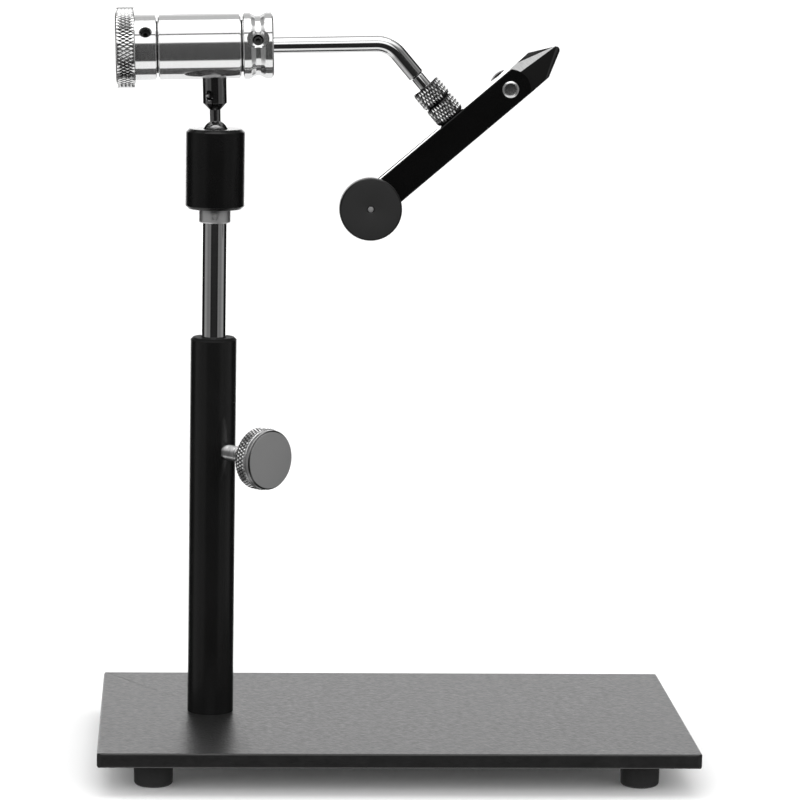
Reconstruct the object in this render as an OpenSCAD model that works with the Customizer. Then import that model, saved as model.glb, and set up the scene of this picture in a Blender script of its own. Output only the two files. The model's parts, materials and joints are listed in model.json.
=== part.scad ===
// Rotary fly tying vise on a pedestal base.
// X runs along the base towards the jaws, Y away from the front edge, Z up.
// The origin lies on the table under the middle of the base plate. Lengths are millimetres.

/* [Base] */
// Length of the base plate
plate_w = 230; // [200:1:280]
// Depth of the base plate
plate_d = 140; // [120:1:180]
// Thickness of the base plate
plate_t = 5.6; // [5:0.1:8]
// Rounding of the plate's four corners
plate_corner_r = 2.2; // [1:0.1:8]
// Bevel along the plate's upper and lower edges
plate_bevel = 0.5; // [0.2:0.1:1]
// Height of a rubber foot
foot_h = 11.5; // [10:0.5:16]
// Diameter of a foot where it meets the plate
foot_top_d = 15.4; // [13:0.2:20]
// Diameter of a foot at the table
foot_bottom_d = 14.9; // [12:0.2:20]
// Distance from a foot's axis to the nearest plate edges
foot_inset = 21.3; // [14:0.1:30]

/* [Column] */
// Distance of the column's axis from the plate's end away from the jaws
column_inset = 43.3; // [30:0.1:65]
// Distance of the column behind the plate's long middle line
column_behind = 2.5; // [0:0.1:10]
// Diameter of the column
column_d = 18.1; // [16:0.1:22]
// Height of the column above the plate
column_h = 149.2; // [130:1:170]
// Bevel around the column's upper end
column_bevel = 1; // [0.4:0.1:1.4]
// Thickness of the solid floor below the stem bore
column_floor = 12; // [10:0.5:16]
// Diameter of the bolt that holds the column down
column_bolt_d = 8; // [6:0.5:10]

/* [Thumbscrew] */
// Height of the thumbscrew's axis above the plate
thumb_z = 104.6; // [95:0.1:125]
// Angle of the thumbscrew from the front, turned towards the jaws
thumb_azimuth = 41.5; // [0:0.5:80]
// Diameter of the thumbscrew's stud
thumb_stud_d = 6.35; // [5:0.05:8]
// Distance from the column's axis to the knob's face
thumb_reach = 33.6; // [28:0.1:42]
// Diameter of the knob over its knurl
thumb_d = 24.2; // [18:0.1:30]
// Width of the knob's knurled band
thumb_knurl_w = 5.4; // [4:0.1:8]
// Width of the smooth band between the knurl and the knob's face
thumb_band_w = 2.4; // [1:0.1:3]

/* [Stem] */
// Diameter of the sliding stem
stem_d = 9.5; // [8:0.1:11]
// Height of the stem's lower end above the plate
stem_foot_z = 54; // [52:0.5:58]
// Height of the socket collar's lower face above the plate
socket_z = 194.1; // [190:0.1:210]
// Diameter of the socket collar
socket_collar_d = 12.3; // [11.5:0.1:14]

/* [Ball joint] */
// Diameter of the clamp nut
clamp_d = 22.9; // [21:0.1:26]
// Length of the clamp nut
clamp_h = 31.1; // [28:0.1:36]
// Bevel at both ends of the clamp nut
clamp_bevel = 1.2; // [0.6:0.1:1.6]
// Distance from the socket collar's lower face to the clamp nut's lower face
clamp_lift = 5.4; // [4:0.1:8]
// Diameter of the ball
ball_d = 10; // [9:0.1:10.6]
// Depth of the ball's centre below the clamp nut's upper face
ball_sink = 1.6; // [1.4:0.1:2.2]
// Diameter of the neck above the ball
neck_d = 4.2; // [3.6:0.1:5]
// Height of the neck's upper end above the ball's centre
neck_top = 8.9; // [8:0.1:11]
// Height of the cone between the neck and the stud
neck_cone_h = 2.6; // [2:0.1:4]
// Diameter of the stud that carries the head
stud_d = 9.4; // [8.6:0.1:11]
// Height of the tommy-bar hole above the ball's centre
stud_hole_z = 14.6; // [13:0.1:17]
// Diameter of the tommy-bar hole
stud_hole_d = 3.4; // [2:0.1:4]
// Angle of the tommy-bar hole from the front, turned away from the jaws
stud_hole_azimuth = 29; // [0:1:80]

/* [Rotary head] */
// Tilt of the head as it is set, jaws up
head_lift = 1.65; // [0:0.05:6]
// Height of the rotary axis above the ball's centre
axis_h = 33.4; // [32:0.1:40]
// Diameter of the rotary housing
housing_d = 25.6; // [24:0.1:30]
// Length of the rotary housing
housing_l = 31.85; // [28:0.05:40]
// Distance of the housing's rear face behind the stud's axis
housing_rear = 21.45; // [17:0.05:24]
// Gap between the housing and the pieces at its two ends
end_gap = 0.65; // [0.5:0.05:1.2]
// Length of the rotary knob's smooth hub
hub_w = 8.2; // [7:0.1:12]
// Width of the rotary knob's knurled rim
wheel_w = 7.4; // [5:0.1:10]
// Diameter of the rotary knob over its knurl
wheel_d = 31; // [29:0.1:38]
// Diameter of the front collar
front_collar_d = 26.1; // [24:0.1:30]
// Length of the front collar
front_collar_w = 11.8; // [10:0.1:14]
// Width of the round groove in the front collar
groove_w = 5.4; // [3:0.1:6]
// Depth of the round groove in the front collar
groove_depth = 1.35; // [0.5:0.05:2]
// Diameter of the two set screws
set_screw_d = 4.2; // [3:0.1:5]

/* [Crank arm] */
// Diameter of the crank arm
arm_d = 6.5; // [6:0.1:8]
// Distance from the stud's axis to the corner of the crank
arm_reach = 68; // [60:0.5:80]
// Angle through which the arm bends down
arm_bend = 50.8; // [40:0.1:60]
// Radius of the bend along the arm's middle line
arm_bend_r = 11.15; // [9:0.05:14]
// Distance from the corner of the crank to the end of the full rod
arm_leg = 16.6; // [15:0.1:18]
// Diameter of the turned shank beyond the full rod
shank_d = 5.2; // [4:0.1:5.8]

/* [Jaws] */
// Distance from the corner of the crank to the middle of the jaws
jaw_drop = 43.4; // [42:0.1:50]
// Height of the jaw bars across their sides
jaw_w = 12.1; // [10:0.1:16]
// Thickness of both jaws together
jaws_t = 12.7; // [12:0.1:16]
// Gap between the jaws at the closing screw
jaw_gap = 4.5; // [4.2:0.1:6]
// Distance from the swivel axis to the adjusting screw
pivot_u = 24.5; // [20:0.1:32]
// Distance from the swivel axis to the start of the nose taper
nose_u = 39; // [36:0.1:48]
// Distance from the swivel axis to the tip of the jaws
tip_u = 49.3; // [48:0.1:60]
// Radius of the tip seen from the side
tip_r = 1.55; // [0.6:0.05:2]
// Thickness of one jaw at its tip
tip_t = 1.5; // [0.8:0.1:2]
// Radius of the full-thickness pad round the adjusting screw
pad_r = 7.8; // [6.5:0.1:8.5]
// Distance from the swivel axis to the closing screw
closing_u = 46.7; // [40:0.1:60]
// Angle through which the moving jaw opens
jaw_open_angle = 3.2; // [1:0.1:3.2]
// Diameter of the jaw lock nut and collar over their knurl
grip_d = 12; // [11:0.1:15]
// Length of each knurled grip on the crank arm's end
grip_w = 7.95; // [7:0.05:8]
// Diameter of the adjusting screw
adjuster_d = 4.6; // [4:0.1:5]
// Diameter of the adjusting screw's bright head
adjuster_head_d = 6.7; // [5.4:0.1:8]
// Diameter of the adjusting nut
adjuster_nut_d = 13; // [11:0.1:18]
// Width of the adjusting nut
adjuster_nut_w = 6; // [4:0.1:8]

/* [Closing knob] */
// Diameter of the closing knob
closing_knob_d = 24.2; // [18:0.1:30]
// Thickness of the closing knob
closing_knob_t = 5.5; // [5:0.1:10]
// Diameter of the closing screw
closing_screw_d = 5; // [4:0.1:6]
// Space between the fixed jaw and the closing knob
closing_knob_stand = 1.3; // [0.6:0.1:3]

/* [Knurling] */
// Teeth round the rotary knob
wheel_teeth = 52; // [40:1:60]
// Teeth round the thumbscrew knob
thumb_teeth = 54; // [40:1:60]
// Teeth round the small grips
grip_teeth = 26; // [20:1:32]
// Depth of the knurl
knurl_depth = 0.42; // [0.2:0.02:0.5]

/* [Hidden] */
// Radial clearance of a running fit
run_gap = 0.05;
// Radial clearance of a fixed fit
fit_gap = 0.02;
// Space left between faces that pass each other
face_gap = 0.1;
// Space left where a moving piece must stay clear
clear_gap = 0.3;
// Overrun of every cut
cut = 1;
// Small bevel on turned edges
edge_bevel = 0.4;

// Foot screws
foot_screw_d = 4;
foot_screw_head_d = 7;
foot_screw_head_h = 2.6;
foot_screw_bite = 4;
foot_recess_d = 8;
foot_recess_h = 6;
foot_edge_r = 1.5;
foot_driver_w = 2.5;
foot_driver_depth = 1.5;

// Column bolt and its washer
bolt_head_share = 1.9;
bolt_head_h = 5.3;
bolt_bite = 9.5;
washer_d = 16;
washer_t = 1.6;

// Thumbscrew details
thumb_band_inset = 0.5;
thumb_seat_depth = 4.4;
thumb_tip_bevel = 0.8;

// Travel of the stem in the column
stem_up = 45;
stem_down = 40;

// Ball socket
socket_thread_d = 17;
socket_thread_rise = 9;
socket_thread_h = 21;
socket_bore_h = 15;
socket_web = 4;
socket_pin_d = 2;
socket_pin_rise = 2.4;
seat_d = 13;
seat_rim_drop = 0.8;
seat_sink = 8;
lip_drop = 0.6;
nut_throat_d = 14;
nut_throat_h = 2.4;

// Head details
spigot_d = 6;
spigot_h = 4.5;
stud_entry = 1.4;
bushing_d = 12;
bushing_l = 8;
housing_core_d = 8;
housing_bevel = 0.5;
thrust_d = 20;
knob_dish_d = 22;
knob_dish_depth = 0.8;
arm_rear_inset = 1.2;
rear_hole_rise = 30;
front_hole_rise = 14.6;
set_screw_drop = 2.6;
set_screw_key = 2;
set_screw_key_depth = 1.8;
rear_mouth_d = 5;
front_mouth_d = 7.8;

// The bend, a little fuller than the rod, and how far the straight parts run into it
bend_swell = 0.03;
bend_lap = 0.5;

// Shank details
shank_bevel = 0.8;
shank_groove_w = 1.8;
shank_groove_depth = 0.5;
shank_end_gap = 1;
collar_screw_d = 3;
collar_screw_drop = 0.8;

// Jaw details
jaw_bevel = 0.35;
saddle_l = 13;
saddle_h = 2.4;
saddle_gap = 0.5;
ridge_share = 0.48;
ridge_tip_share = 0.2;
bevel_step = 0.25;
bevel_fall_share = 0.36;
crest_fall_share = 0.62;
guide_pin_d = 3;
guide_pin_u = 17;
guide_pin_cover = 1.4;
guide_pin_end = 3.4;
guide_hole_gap = 0.4;
spring_u = 32.5;
spring_d = 3.4;
spring_wire_d = 0.6;
spring_turns = 4;
spring_sides = 5;
spring_steps = 12;
spring_pocket_depth = 2.4;
spring_pocket_gap = 0.25;
adjuster_head_t = 2;
adjuster_socket_share = 0.62;
adjuster_socket_depth = 1;
adjuster_hole_gap = 0.45;
adjuster_tail = 1;
adjuster_washer_t = 1.2;
adjuster_washer_d = 9;
closing_tip_d = 3.4;
closing_tip_h = 1.5;
closing_dimple_d = 3;
closing_dimple_depth = 0.5;
closing_screw_end_d = 2.2;
closing_knob_bevel = 0.5;

// Places worked out from the sizes above
plate_z = foot_h;
plate_top = plate_z + plate_t;
column_back = plate_w / 2 - column_inset;
clamp_z = socket_z + clamp_lift;
ball_z = clamp_z + clamp_h - ball_sink;
ball_r = ball_d / 2;
cup_r = ball_r + run_gap;
jaw_t = jaws_t / 2;
jaw_b = jaw_w / 2;
housing_front = housing_l - housing_rear;
hub_face = housing_rear + end_gap;
wheel_face = hub_face + hub_w;
wheel_back = wheel_face + wheel_w;
collar_face = housing_front + end_gap;
collar_front = collar_face + front_collar_w;
bend_run = arm_bend_r * tan(arm_bend / 2);
jaw_top_drop = jaw_drop - jaw_b;
jaw_collar_drop = jaw_top_drop - grip_w;
thrust_t = end_gap - face_gap;
lock_nut_drop = jaw_collar_drop - face_gap - grip_w;
shank_end = jaw_top_drop - shank_end_gap;
nose_run = tip_u - tip_r - nose_u;
nose_angle = atan2(jaw_b, nose_run) - asin(tip_r / norm([nose_run, jaw_b]));
thumb_hole_d = thumb_stud_d + 2 * run_gap;

$fn = 64;
knurl_fn = 12;

// Places: each draws its children in the frame of one part of the vise

// On the column's axis, from the plate's upper face
module on_post(z) {
    translate([-column_back, column_behind, plate_top + z]) children();
}

// From the ball's centre, with X along the rotary axis
module in_head() {
    on_post(ball_z) rotate([0, -head_lift, 0]) children();
}

// Along the rotary axis, with Z towards the jaws and zero over the stud
module on_axis(x) {
    in_head() translate([x, 0, axis_h]) rotate([0, 90, 0]) children();
}

// Down the crank's leg, with Z away from the corner of the crank
module on_leg(s) {
    in_head() translate([arm_reach, 0, axis_h])
        rotate([0, 90 + arm_bend, 0]) translate([0, 0, s]) children();
}

// In the jaws' middle plane, with X towards the tip and Z towards the lock nut
module in_jaws() {
    in_head() translate([arm_reach, 0, axis_h])
        rotate([0, arm_bend - 90, 0]) translate([0, 0, -jaw_drop]) children();
}

// Towards the front from a point of the jaws' middle plane, with Z to the front
module jaw_front(u, y) {
    in_jaws() translate([u, y, 0]) rotate([90, 0, 0]) children();
}

// Outwards along the thumbscrew, from a distance off the column's axis
module on_thumb(r) {
    on_post(thumb_z) rotate([0, 0, thumb_azimuth - 90])
        translate([r, 0, 0]) rotate([0, 90, 0]) children();
}

// Shapes that several pieces share

// A disc with a bevel at each end
module turned(d, h, bevel) {
    rotate_extrude() polygon([[0, 0], [d / 2 - bevel, 0], [d / 2, bevel],
        [d / 2, h - bevel], [d / 2 - bevel, h], [0, h]]);
}

// A bore from z = 0 up to h with its overrun at both ends
module bore(d, h) {
    translate([0, 0, -cut]) cylinder(d = d, h = h + 2 * cut);
}

// Points of one ring of a diamond knurl: crests and roots in turn
function knurl_ring(r, depth, teeth, k, rows, z) = [
    for (i = [0 : 2 * teeth - 1])
        let (crest = k > 0 && k < rows && (i + k) % 2 == 0,
             q = crest ? r : r - depth,
             a = 180 * i / teeth)
        [q * cos(a), q * sin(a), z]];

// The two faces of one cell, split from root to root so that crests stand up
function knurl_cell(a, b, c, d, crest) = crest ? [[a, b, d], [b, c, d]] : [[a, b, c], [a, c, d]];

// A solid drum of diameter d and width w with pyramids all over its rim
module knurled_drum(d, w, teeth, rows) {
    n = 2 * teeth;
    points = [for (k = [0 : rows])
        each knurl_ring(d / 2, knurl_depth, teeth, k, rows, w * k / rows)];
    sides = [for (k = [0 : rows - 1], i = [0 : n - 1])
        let (j = (i + 1) % n)
        each knurl_cell(k * n + i, (k + 1) * n + i, (k + 1) * n + j, k * n + j, (i + k) % 2 == 0)];
    polyhedron(points, concat(sides, [[for (i = [0 : n - 1]) i],
        [for (i = [n - 1 : -1 : 0]) rows * n + i]]), convexity = 4);
}

// Rows that keep the diamonds about as wide as they are long
function knurl_rows(d, w, teeth) = 2 * round(w * teeth / (PI * d));

// A knurled drum whose diamonds suit its size
module grip(d, w, teeth) {
    knurled_drum(d, w, teeth, knurl_rows(d, w, teeth));
}

// Base

module plate_outline() {
    long = plate_w - 2 * plate_corner_r;
    deep = plate_d - 2 * plate_corner_r;
    square([long, plate_d], center = true);
    square([plate_w, deep], center = true);
    for (x = [-long / 2, long / 2], y = [-deep / 2, deep / 2])
        translate([x, y]) circle(plate_corner_r);
}

// A bar of width w along Y with both upper and lower edges bevelled
module bevelled_bar(w, length) {
    translate([0, length / 2, plate_z]) rotate([90, 0, 0]) linear_extrude(length)
        polygon([[-w / 2 + plate_bevel, 0], [w / 2 - plate_bevel, 0], [w / 2, plate_bevel],
            [w / 2, plate_t - plate_bevel], [w / 2 - plate_bevel, plate_t],
            [-w / 2 + plate_bevel, plate_t], [-w / 2, plate_t - plate_bevel],
            [-w / 2, plate_bevel]]);
}

module foot_places() {
    for (x = [-1, 1], y = [-1, 1]) at_foot(x, y) children();
}

module at_foot(x, y) {
    translate([x * (plate_w / 2 - foot_inset), y * (plate_d / 2 - foot_inset), 0]) children();
}

module base_plate() {
    color([0.16, 0.16, 0.17]) difference() {
        intersection() {
            translate([0, 0, plate_z]) linear_extrude(plate_t) plate_outline();
            bevelled_bar(plate_w, plate_d);
            rotate([0, 0, 90]) bevelled_bar(plate_d, plate_w);
        }
        foot_places() translate([0, 0, plate_z - cut])
            cylinder(d = foot_screw_d + 2 * fit_gap, h = foot_screw_bite + face_gap + cut);
        translate([-column_back, column_behind, plate_z - cut])
            cylinder(d = column_bolt_d + 2 * fit_gap, h = plate_t + 2 * cut);
    }
}

module foot() {
    r0 = foot_bottom_d / 2;
    color([0.06, 0.06, 0.06]) difference() {
        rotate_extrude() {
            polygon([[0, 0], [r0 - foot_edge_r, 0], [r0 - foot_edge_r, foot_edge_r],
                [r0, foot_edge_r], [foot_top_d / 2, foot_h], [0, foot_h]]);
            translate([r0 - foot_edge_r, foot_edge_r]) circle(foot_edge_r);
        }
        bore(foot_screw_d + 2 * run_gap, foot_h);
        translate([0, 0, -cut]) cylinder(d = foot_recess_d, h = foot_recess_h + cut);
    }
}

module foot_front_left() { at_foot(-1, -1) foot(); }
module foot_front_right() { at_foot(1, -1) foot(); }
module foot_rear_left() { at_foot(-1, 1) foot(); }
module foot_rear_right() { at_foot(1, 1) foot(); }

module foot_screws() {
    color([0.7, 0.7, 0.7]) foot_places() difference() {
        union() {
            translate([0, 0, foot_recess_h - foot_screw_head_h])
                turned(foot_screw_head_d, foot_screw_head_h, edge_bevel);
            translate([0, 0, foot_recess_h])
                cylinder(d = foot_screw_d, h = foot_h + foot_screw_bite - foot_recess_h);
        }
        translate([0, 0, foot_recess_h - foot_screw_head_h - cut])
            cylinder(d = foot_driver_w, h = foot_driver_depth + cut, $fn = 6);
    }
}

// Column

module column() {
    color([0.07, 0.07, 0.07]) difference() {
        on_post(0) rotate_extrude() polygon([[0, 0], [column_d / 2, 0],
            [column_d / 2, column_h - column_bevel],
            [column_d / 2 - column_bevel, column_h], [0, column_h]]);
        on_post(column_floor) cylinder(d = stem_d + 2 * run_gap, h = column_h);
        on_post(column_h - edge_bevel) cylinder(d1 = stem_d + 2 * run_gap,
            d2 = stem_d + 2 * (run_gap + edge_bevel + cut), h = edge_bevel + cut);
        on_post(-cut) cylinder(d = column_bolt_d + 2 * fit_gap, h = bolt_bite + face_gap + cut);
        on_thumb(0) cylinder(d = thumb_hole_d, h = column_d);
    }
}

module column_bolt() {
    color([0.7, 0.7, 0.7]) {
        on_post(-plate_t - washer_t - bolt_head_h)
            cylinder(d = column_bolt_d * bolt_head_share, h = bolt_head_h, $fn = 6);
        on_post(-plate_t - washer_t) cylinder(d = column_bolt_d, h = plate_t + washer_t + bolt_bite);
    }
}

module column_washer() {
    color([0.7, 0.7, 0.7]) on_post(-plate_t - washer_t) difference() {
        turned(washer_d, washer_t, edge_bevel / 2);
        bore(column_bolt_d + 2 * fit_gap, washer_t);
    }
}

// Thumbscrew

thumb_back = thumb_reach - thumb_knurl_w - thumb_band_w;

module thumbscrew_stud() {
    color([0.75, 0.75, 0.75]) on_thumb(stem_d / 2 + face_gap)
        rotate_extrude() polygon([[0, 0], [thumb_stud_d / 2 - thumb_tip_bevel, 0],
            [thumb_stud_d / 2, thumb_tip_bevel],
            [thumb_stud_d / 2, thumb_back + thumb_seat_depth - stem_d / 2 - face_gap],
            [0, thumb_back + thumb_seat_depth - stem_d / 2 - face_gap]]);
}

module thumbscrew_knob() {
    d = thumb_d - 2 * thumb_band_inset;
    color([0.55, 0.55, 0.55]) on_thumb(thumb_back) difference() {
        union() {
            grip(thumb_d, thumb_knurl_w, thumb_teeth);
            translate([0, 0, edge_bevel + run_gap])
                turned(d, thumb_knurl_w + thumb_band_w - edge_bevel - run_gap, edge_bevel);
        }
        bore(thumb_hole_d, thumb_seat_depth + face_gap - cut);
    }
}

// Stem and ball joint

module stem() {
    color([0.8, 0.8, 0.82]) difference() {
        on_post(stem_foot_z) turned(stem_d, socket_z + socket_bore_h - stem_foot_z, edge_bevel);
        socket_pin_hole();
    }
}

module socket_pin_hole() {
    on_post(socket_z + socket_pin_rise) rotate([90, 0, 0])
        cylinder(d = socket_pin_d + 2 * fit_gap, h = 2 * socket_collar_d, center = true);
}

module socket_pin() {
    color([0.7, 0.7, 0.7]) on_post(socket_z + socket_pin_rise) rotate([90, 0, 0])
        translate([0, 0, -socket_collar_d / 2 + edge_bevel])
            turned(socket_pin_d, socket_collar_d - 2 * edge_bevel, edge_bevel / 2);
}

seat_floor = ball_z - seat_rim_drop - seat_sink - socket_z - run_gap;

module ball_socket() {
    top = socket_thread_rise + socket_thread_h;
    color([0.7, 0.7, 0.7]) difference() {
        on_post(socket_z) difference() {
            rotate_extrude() polygon([[0, 0], [socket_collar_d / 2 - edge_bevel, 0],
                [socket_collar_d / 2, edge_bevel], [socket_collar_d / 2, socket_thread_rise],
                [socket_thread_d / 2, socket_thread_rise], [socket_thread_d / 2, top - edge_bevel],
                [socket_thread_d / 2 - edge_bevel, top], [0, top]]);
            translate([0, 0, -cut])
                cylinder(d = stem_d + 2 * fit_gap, h = socket_bore_h + face_gap + cut);
            translate([0, 0, seat_floor]) cylinder(d = seat_d + 2 * run_gap, h = top);
        }
        socket_pin_hole();
    }
}

module ball_seat() {
    color([0.75, 0.6, 0.35]) on_post(socket_z + seat_floor + run_gap) difference() {
        cylinder(d = seat_d, h = seat_sink);
        translate([0, 0, seat_sink + seat_rim_drop]) sphere(r = cup_r);
    }
}

module clamp_nut() {
    color([0.07, 0.07, 0.07]) on_post(clamp_z) difference() {
        turned(clamp_d, clamp_h, clamp_bevel);
        translate([0, 0, -cut]) cylinder(d = socket_thread_d + 2 * run_gap,
            h = clamp_h - ball_sink - lip_drop - nut_throat_h + cut);
        cylinder(d = nut_throat_d, h = clamp_h - ball_sink - lip_drop);
        translate([0, 0, clamp_h - ball_sink]) sphere(r = cup_r);
    }
}

// Head

stud_top = axis_h - housing_d / 2 + stud_entry;

module ball_stud() {
    color([0.3, 0.3, 0.3]) in_head() difference() {
        union() {
            sphere(r = ball_r);
            rotate_extrude() polygon([[0, 0], [neck_d / 2, 0], [neck_d / 2, neck_top],
                [stud_d / 2, neck_top + neck_cone_h], [stud_d / 2, stud_top],
                [spigot_d / 2, stud_top], [spigot_d / 2, stud_top + spigot_h],
                [0, stud_top + spigot_h]]);
        }
        translate([0, 0, stud_hole_z]) rotate([90, 0, -stud_hole_azimuth])
            cylinder(d = stud_hole_d, h = 2 * stud_d, center = true);
    }
}

module rotary_housing() {
    color([0.85, 0.85, 0.87]) difference() {
        on_axis(-housing_rear) difference() {
            turned(housing_d, housing_l, housing_bevel);
            bore(housing_core_d, housing_l);
            for (z = [-cut, housing_l - bushing_l]) translate([0, 0, z])
                cylinder(d = bushing_d + 2 * fit_gap, h = bushing_l + cut);
        }
        in_head() {
            cylinder(d = stud_d + 2 * fit_gap, h = stud_top);
            cylinder(d = spigot_d + 2 * fit_gap, h = stud_top + spigot_h + face_gap);
        }
    }
}

module bushing() {
    color([0.75, 0.6, 0.35]) difference() {
        turned(bushing_d, bushing_l, edge_bevel / 2);
        bore(arm_d + 2 * run_gap, bushing_l);
    }
}

module rear_bushing() { on_axis(-housing_rear) bushing(); }
module front_bushing() { on_axis(housing_front - bushing_l) bushing(); }

module thrust_washer() {
    color([0.2, 0.2, 0.2]) difference() {
        cylinder(d = thrust_d, h = thrust_t);
        bore(arm_d + 2 * fit_gap, thrust_t);
    }
}

module rear_thrust_washer() { on_axis(-hub_face) thrust_washer(); }
module front_thrust_washer() { on_axis(collar_face - thrust_t) thrust_washer(); }

// A radial set-screw hole in a piece of diameter d, with its bevelled mouth
module set_screw_hole(d, mouth) {
    depth = (mouth - set_screw_d) / 2;
    cylinder(d = set_screw_d + 2 * fit_gap, h = d);
    translate([0, 0, d / 2 - depth]) cylinder(d1 = set_screw_d, d2 = mouth + 2 * cut, h = depth + cut);
}

module rotary_knob() {
    color([0.82, 0.82, 0.84]) difference() {
        on_axis(-wheel_back) difference() {
            union() {
                grip(wheel_d, wheel_w, wheel_teeth);
                translate([0, 0, wheel_w / 2]) cylinder(d = housing_d, h = wheel_w / 2 + hub_w);
            }
            bore(arm_d + 2 * fit_gap, wheel_w + hub_w);
            translate([0, 0, -cut]) cylinder(d = knob_dish_d, h = knob_dish_depth + cut);
        }
        on_axis(-hub_face - hub_w / 2) set_screw_turn(rear_hole_rise)
            set_screw_hole(housing_d, rear_mouth_d);
    }
}

// Turns Z from the rotary axis to the front and up by an angle
module set_screw_turn(rise) {
    rotate([0, 0, -rise]) rotate([90, 0, 0]) children();
}

// A socket set screw, from the arm's surface to just below the mouth
module set_screw(d) {
    length = d / 2 - set_screw_drop - arm_d / 2 - face_gap;
    color([0.12, 0.12, 0.12]) translate([0, 0, arm_d / 2 + face_gap]) difference() {
        turned(set_screw_d, length, edge_bevel);
        translate([0, 0, length - set_screw_key_depth])
            cylinder(d = set_screw_key, h = set_screw_key_depth + cut, $fn = 6);
    }
}

module rear_set_screw() {
    on_axis(-hub_face - hub_w / 2) set_screw_turn(rear_hole_rise) set_screw(housing_d);
}

module front_collar() {
    groove_r = (pow(groove_w / 2, 2) + pow(groove_depth, 2)) / (2 * groove_depth);
    color([0.82, 0.82, 0.84]) difference() {
        on_axis(collar_face) difference() {
            turned(front_collar_d, front_collar_w, housing_bevel);
            bore(arm_d + 2 * fit_gap, front_collar_w);
            translate([0, 0, front_collar_w / 2]) rotate_extrude()
                translate([front_collar_d / 2 - groove_depth + groove_r, 0]) circle(groove_r);
        }
        on_axis(collar_face + front_collar_w / 2) set_screw_turn(front_hole_rise)
            set_screw_hole(front_collar_d, front_mouth_d);
    }
}

module front_set_screw() {
    on_axis(collar_face + front_collar_w / 2) set_screw_turn(front_hole_rise)
        set_screw(front_collar_d - 2 * groove_depth);
}

// Crank arm

module crank_arm() {
    start = -wheel_back + arm_rear_inset;
    color([0.8, 0.8, 0.82]) {
        on_axis(start) cylinder(d = arm_d, h = arm_reach - bend_run + bend_lap - start);
        in_head() translate([arm_reach - bend_run, 0, axis_h - arm_bend_r])
            rotate([90, 0, 0]) rotate([0, 0, 90 - arm_bend])
                rotate_extrude(angle = arm_bend) translate([arm_bend_r, 0])
                    circle(d = arm_d + 2 * bend_swell);
        on_leg(0) difference() {
            rotate_extrude() polygon([[0, bend_run - bend_lap], [arm_d / 2, bend_run - bend_lap],
                [arm_d / 2, arm_leg - shank_bevel], [arm_d / 2 - shank_bevel, arm_leg],
                [shank_d / 2, arm_leg], [shank_d / 2, shank_end], [0, shank_end]]);
            translate([0, 0, jaw_collar_drop + grip_w / 2 - shank_groove_w / 2]) difference() {
                cylinder(d = arm_d, h = shank_groove_w);
                bore(shank_d - 2 * shank_groove_depth, shank_groove_w);
            }
        }
    }
}

// Jaw collar and lock nut

module arm_grip() {
    color([0.8, 0.8, 0.82]) difference() {
        grip(grip_d, grip_w, grip_teeth);
        bore(shank_d + 2 * run_gap, grip_w);
    }
}

module jaw_lock_nut() { on_leg(lock_nut_drop) arm_grip(); }

module jaw_collar() {
    difference() {
        on_leg(jaw_collar_drop) arm_grip();
        collar_screw_turn() cylinder(d = collar_screw_d + 2 * fit_gap, h = grip_d);
    }
}

// Z points to the rear from the swivel axis, half way down the collar
module collar_screw_turn() {
    in_jaws() translate([0, 0, jaw_b + grip_w / 2]) rotate([-90, 0, 0]) children();
}

// A dog-point set screw whose tip runs in the shank's groove
module jaw_collar_screw() {
    tip = shank_d / 2 - shank_groove_depth + face_gap;
    shoulder = shank_d / 2 + run_gap + face_gap;
    head = grip_d / 2 - collar_screw_drop;
    dog = shank_groove_w / 2 - face_gap;
    color([0.12, 0.12, 0.12]) collar_screw_turn() rotate_extrude() polygon([[0, tip], [dog, tip],
        [dog, shoulder], [collar_screw_d / 2, shoulder], [collar_screw_d / 2, head], [0, head]]);
}

// Jaws

// Side view of a jaw: a straight bar, round at the rear, with a tapered nose
module jaw_side() {
    translate([-closing_u, -jaw_b]) square([closing_u + nose_u, jaw_w]);
    translate([-closing_u, 0]) circle(jaw_b);
    polygon([[nose_u, -jaw_b],
        [tip_u - tip_r + tip_r * sin(nose_angle), -tip_r * cos(nose_angle)],
        [tip_u - tip_r + tip_r * sin(nose_angle), tip_r * cos(nose_angle)],
        [nose_u, jaw_b]]);
    translate([tip_u - tip_r, 0]) circle(tip_r);
}

// Cross section of a jaw from its outer face y0 to its inner face y1
module jaw_section(y0, y1) {
    polygon([[y0 + jaw_bevel, -jaw_b], [y1, -jaw_b], [y1, jaw_b],
        [y0 + jaw_bevel, jaw_b], [y0, jaw_b - jaw_bevel], [y0, -jaw_b + jaw_bevel]]);
}

// The side of the plane through three points that their turning order points to
module beyond(a, b, c) {
    n = cross(b - a, c - a);
    m = n / norm(n);
    side = 4 * jaw_w;
    translate(a) rotate([0, acos(m[2]), atan2(m[1], m[0])])
        translate([-side / 2, -side / 2, 0]) cube([side, side, side]);
}

// What is milled off the outer side of the nose: three bevels from the pad to the tip
module nose_bevels() {
    start = pivot_u + pad_r;
    face = -jaw_t + bevel_step;
    tip = [tip_u, 0, -tip_t];
    ridge = [start - pad_r / 2, jaw_b * ridge_share, face];
    ridge_tip = [tip_u, jaw_b * ridge_tip_share, -tip_t];
    crest = [start - pad_r / 2, jaw_b, face + jaw_t * bevel_fall_share];
    brow = [nose_u, jaw_b, face + jaw_t * crest_fall_share];
    difference() {
        intersection() {
            union() {
                beyond(place([start, 0, face]), place([start, -jaw_b, face]), place([tip_u, 0, -tip_t]));
                beyond(place(ridge), place(ridge_tip), place(crest));
                beyond(place(crest), place(ridge_tip), place(brow));
            }
            translate([pivot_u, -jaws_t, -jaw_w]) cube([tip_u, jaws_t, 2 * jaw_w]);
        }
        cross_hole(pivot_u, 2 * pad_r);
    }
}

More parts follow.
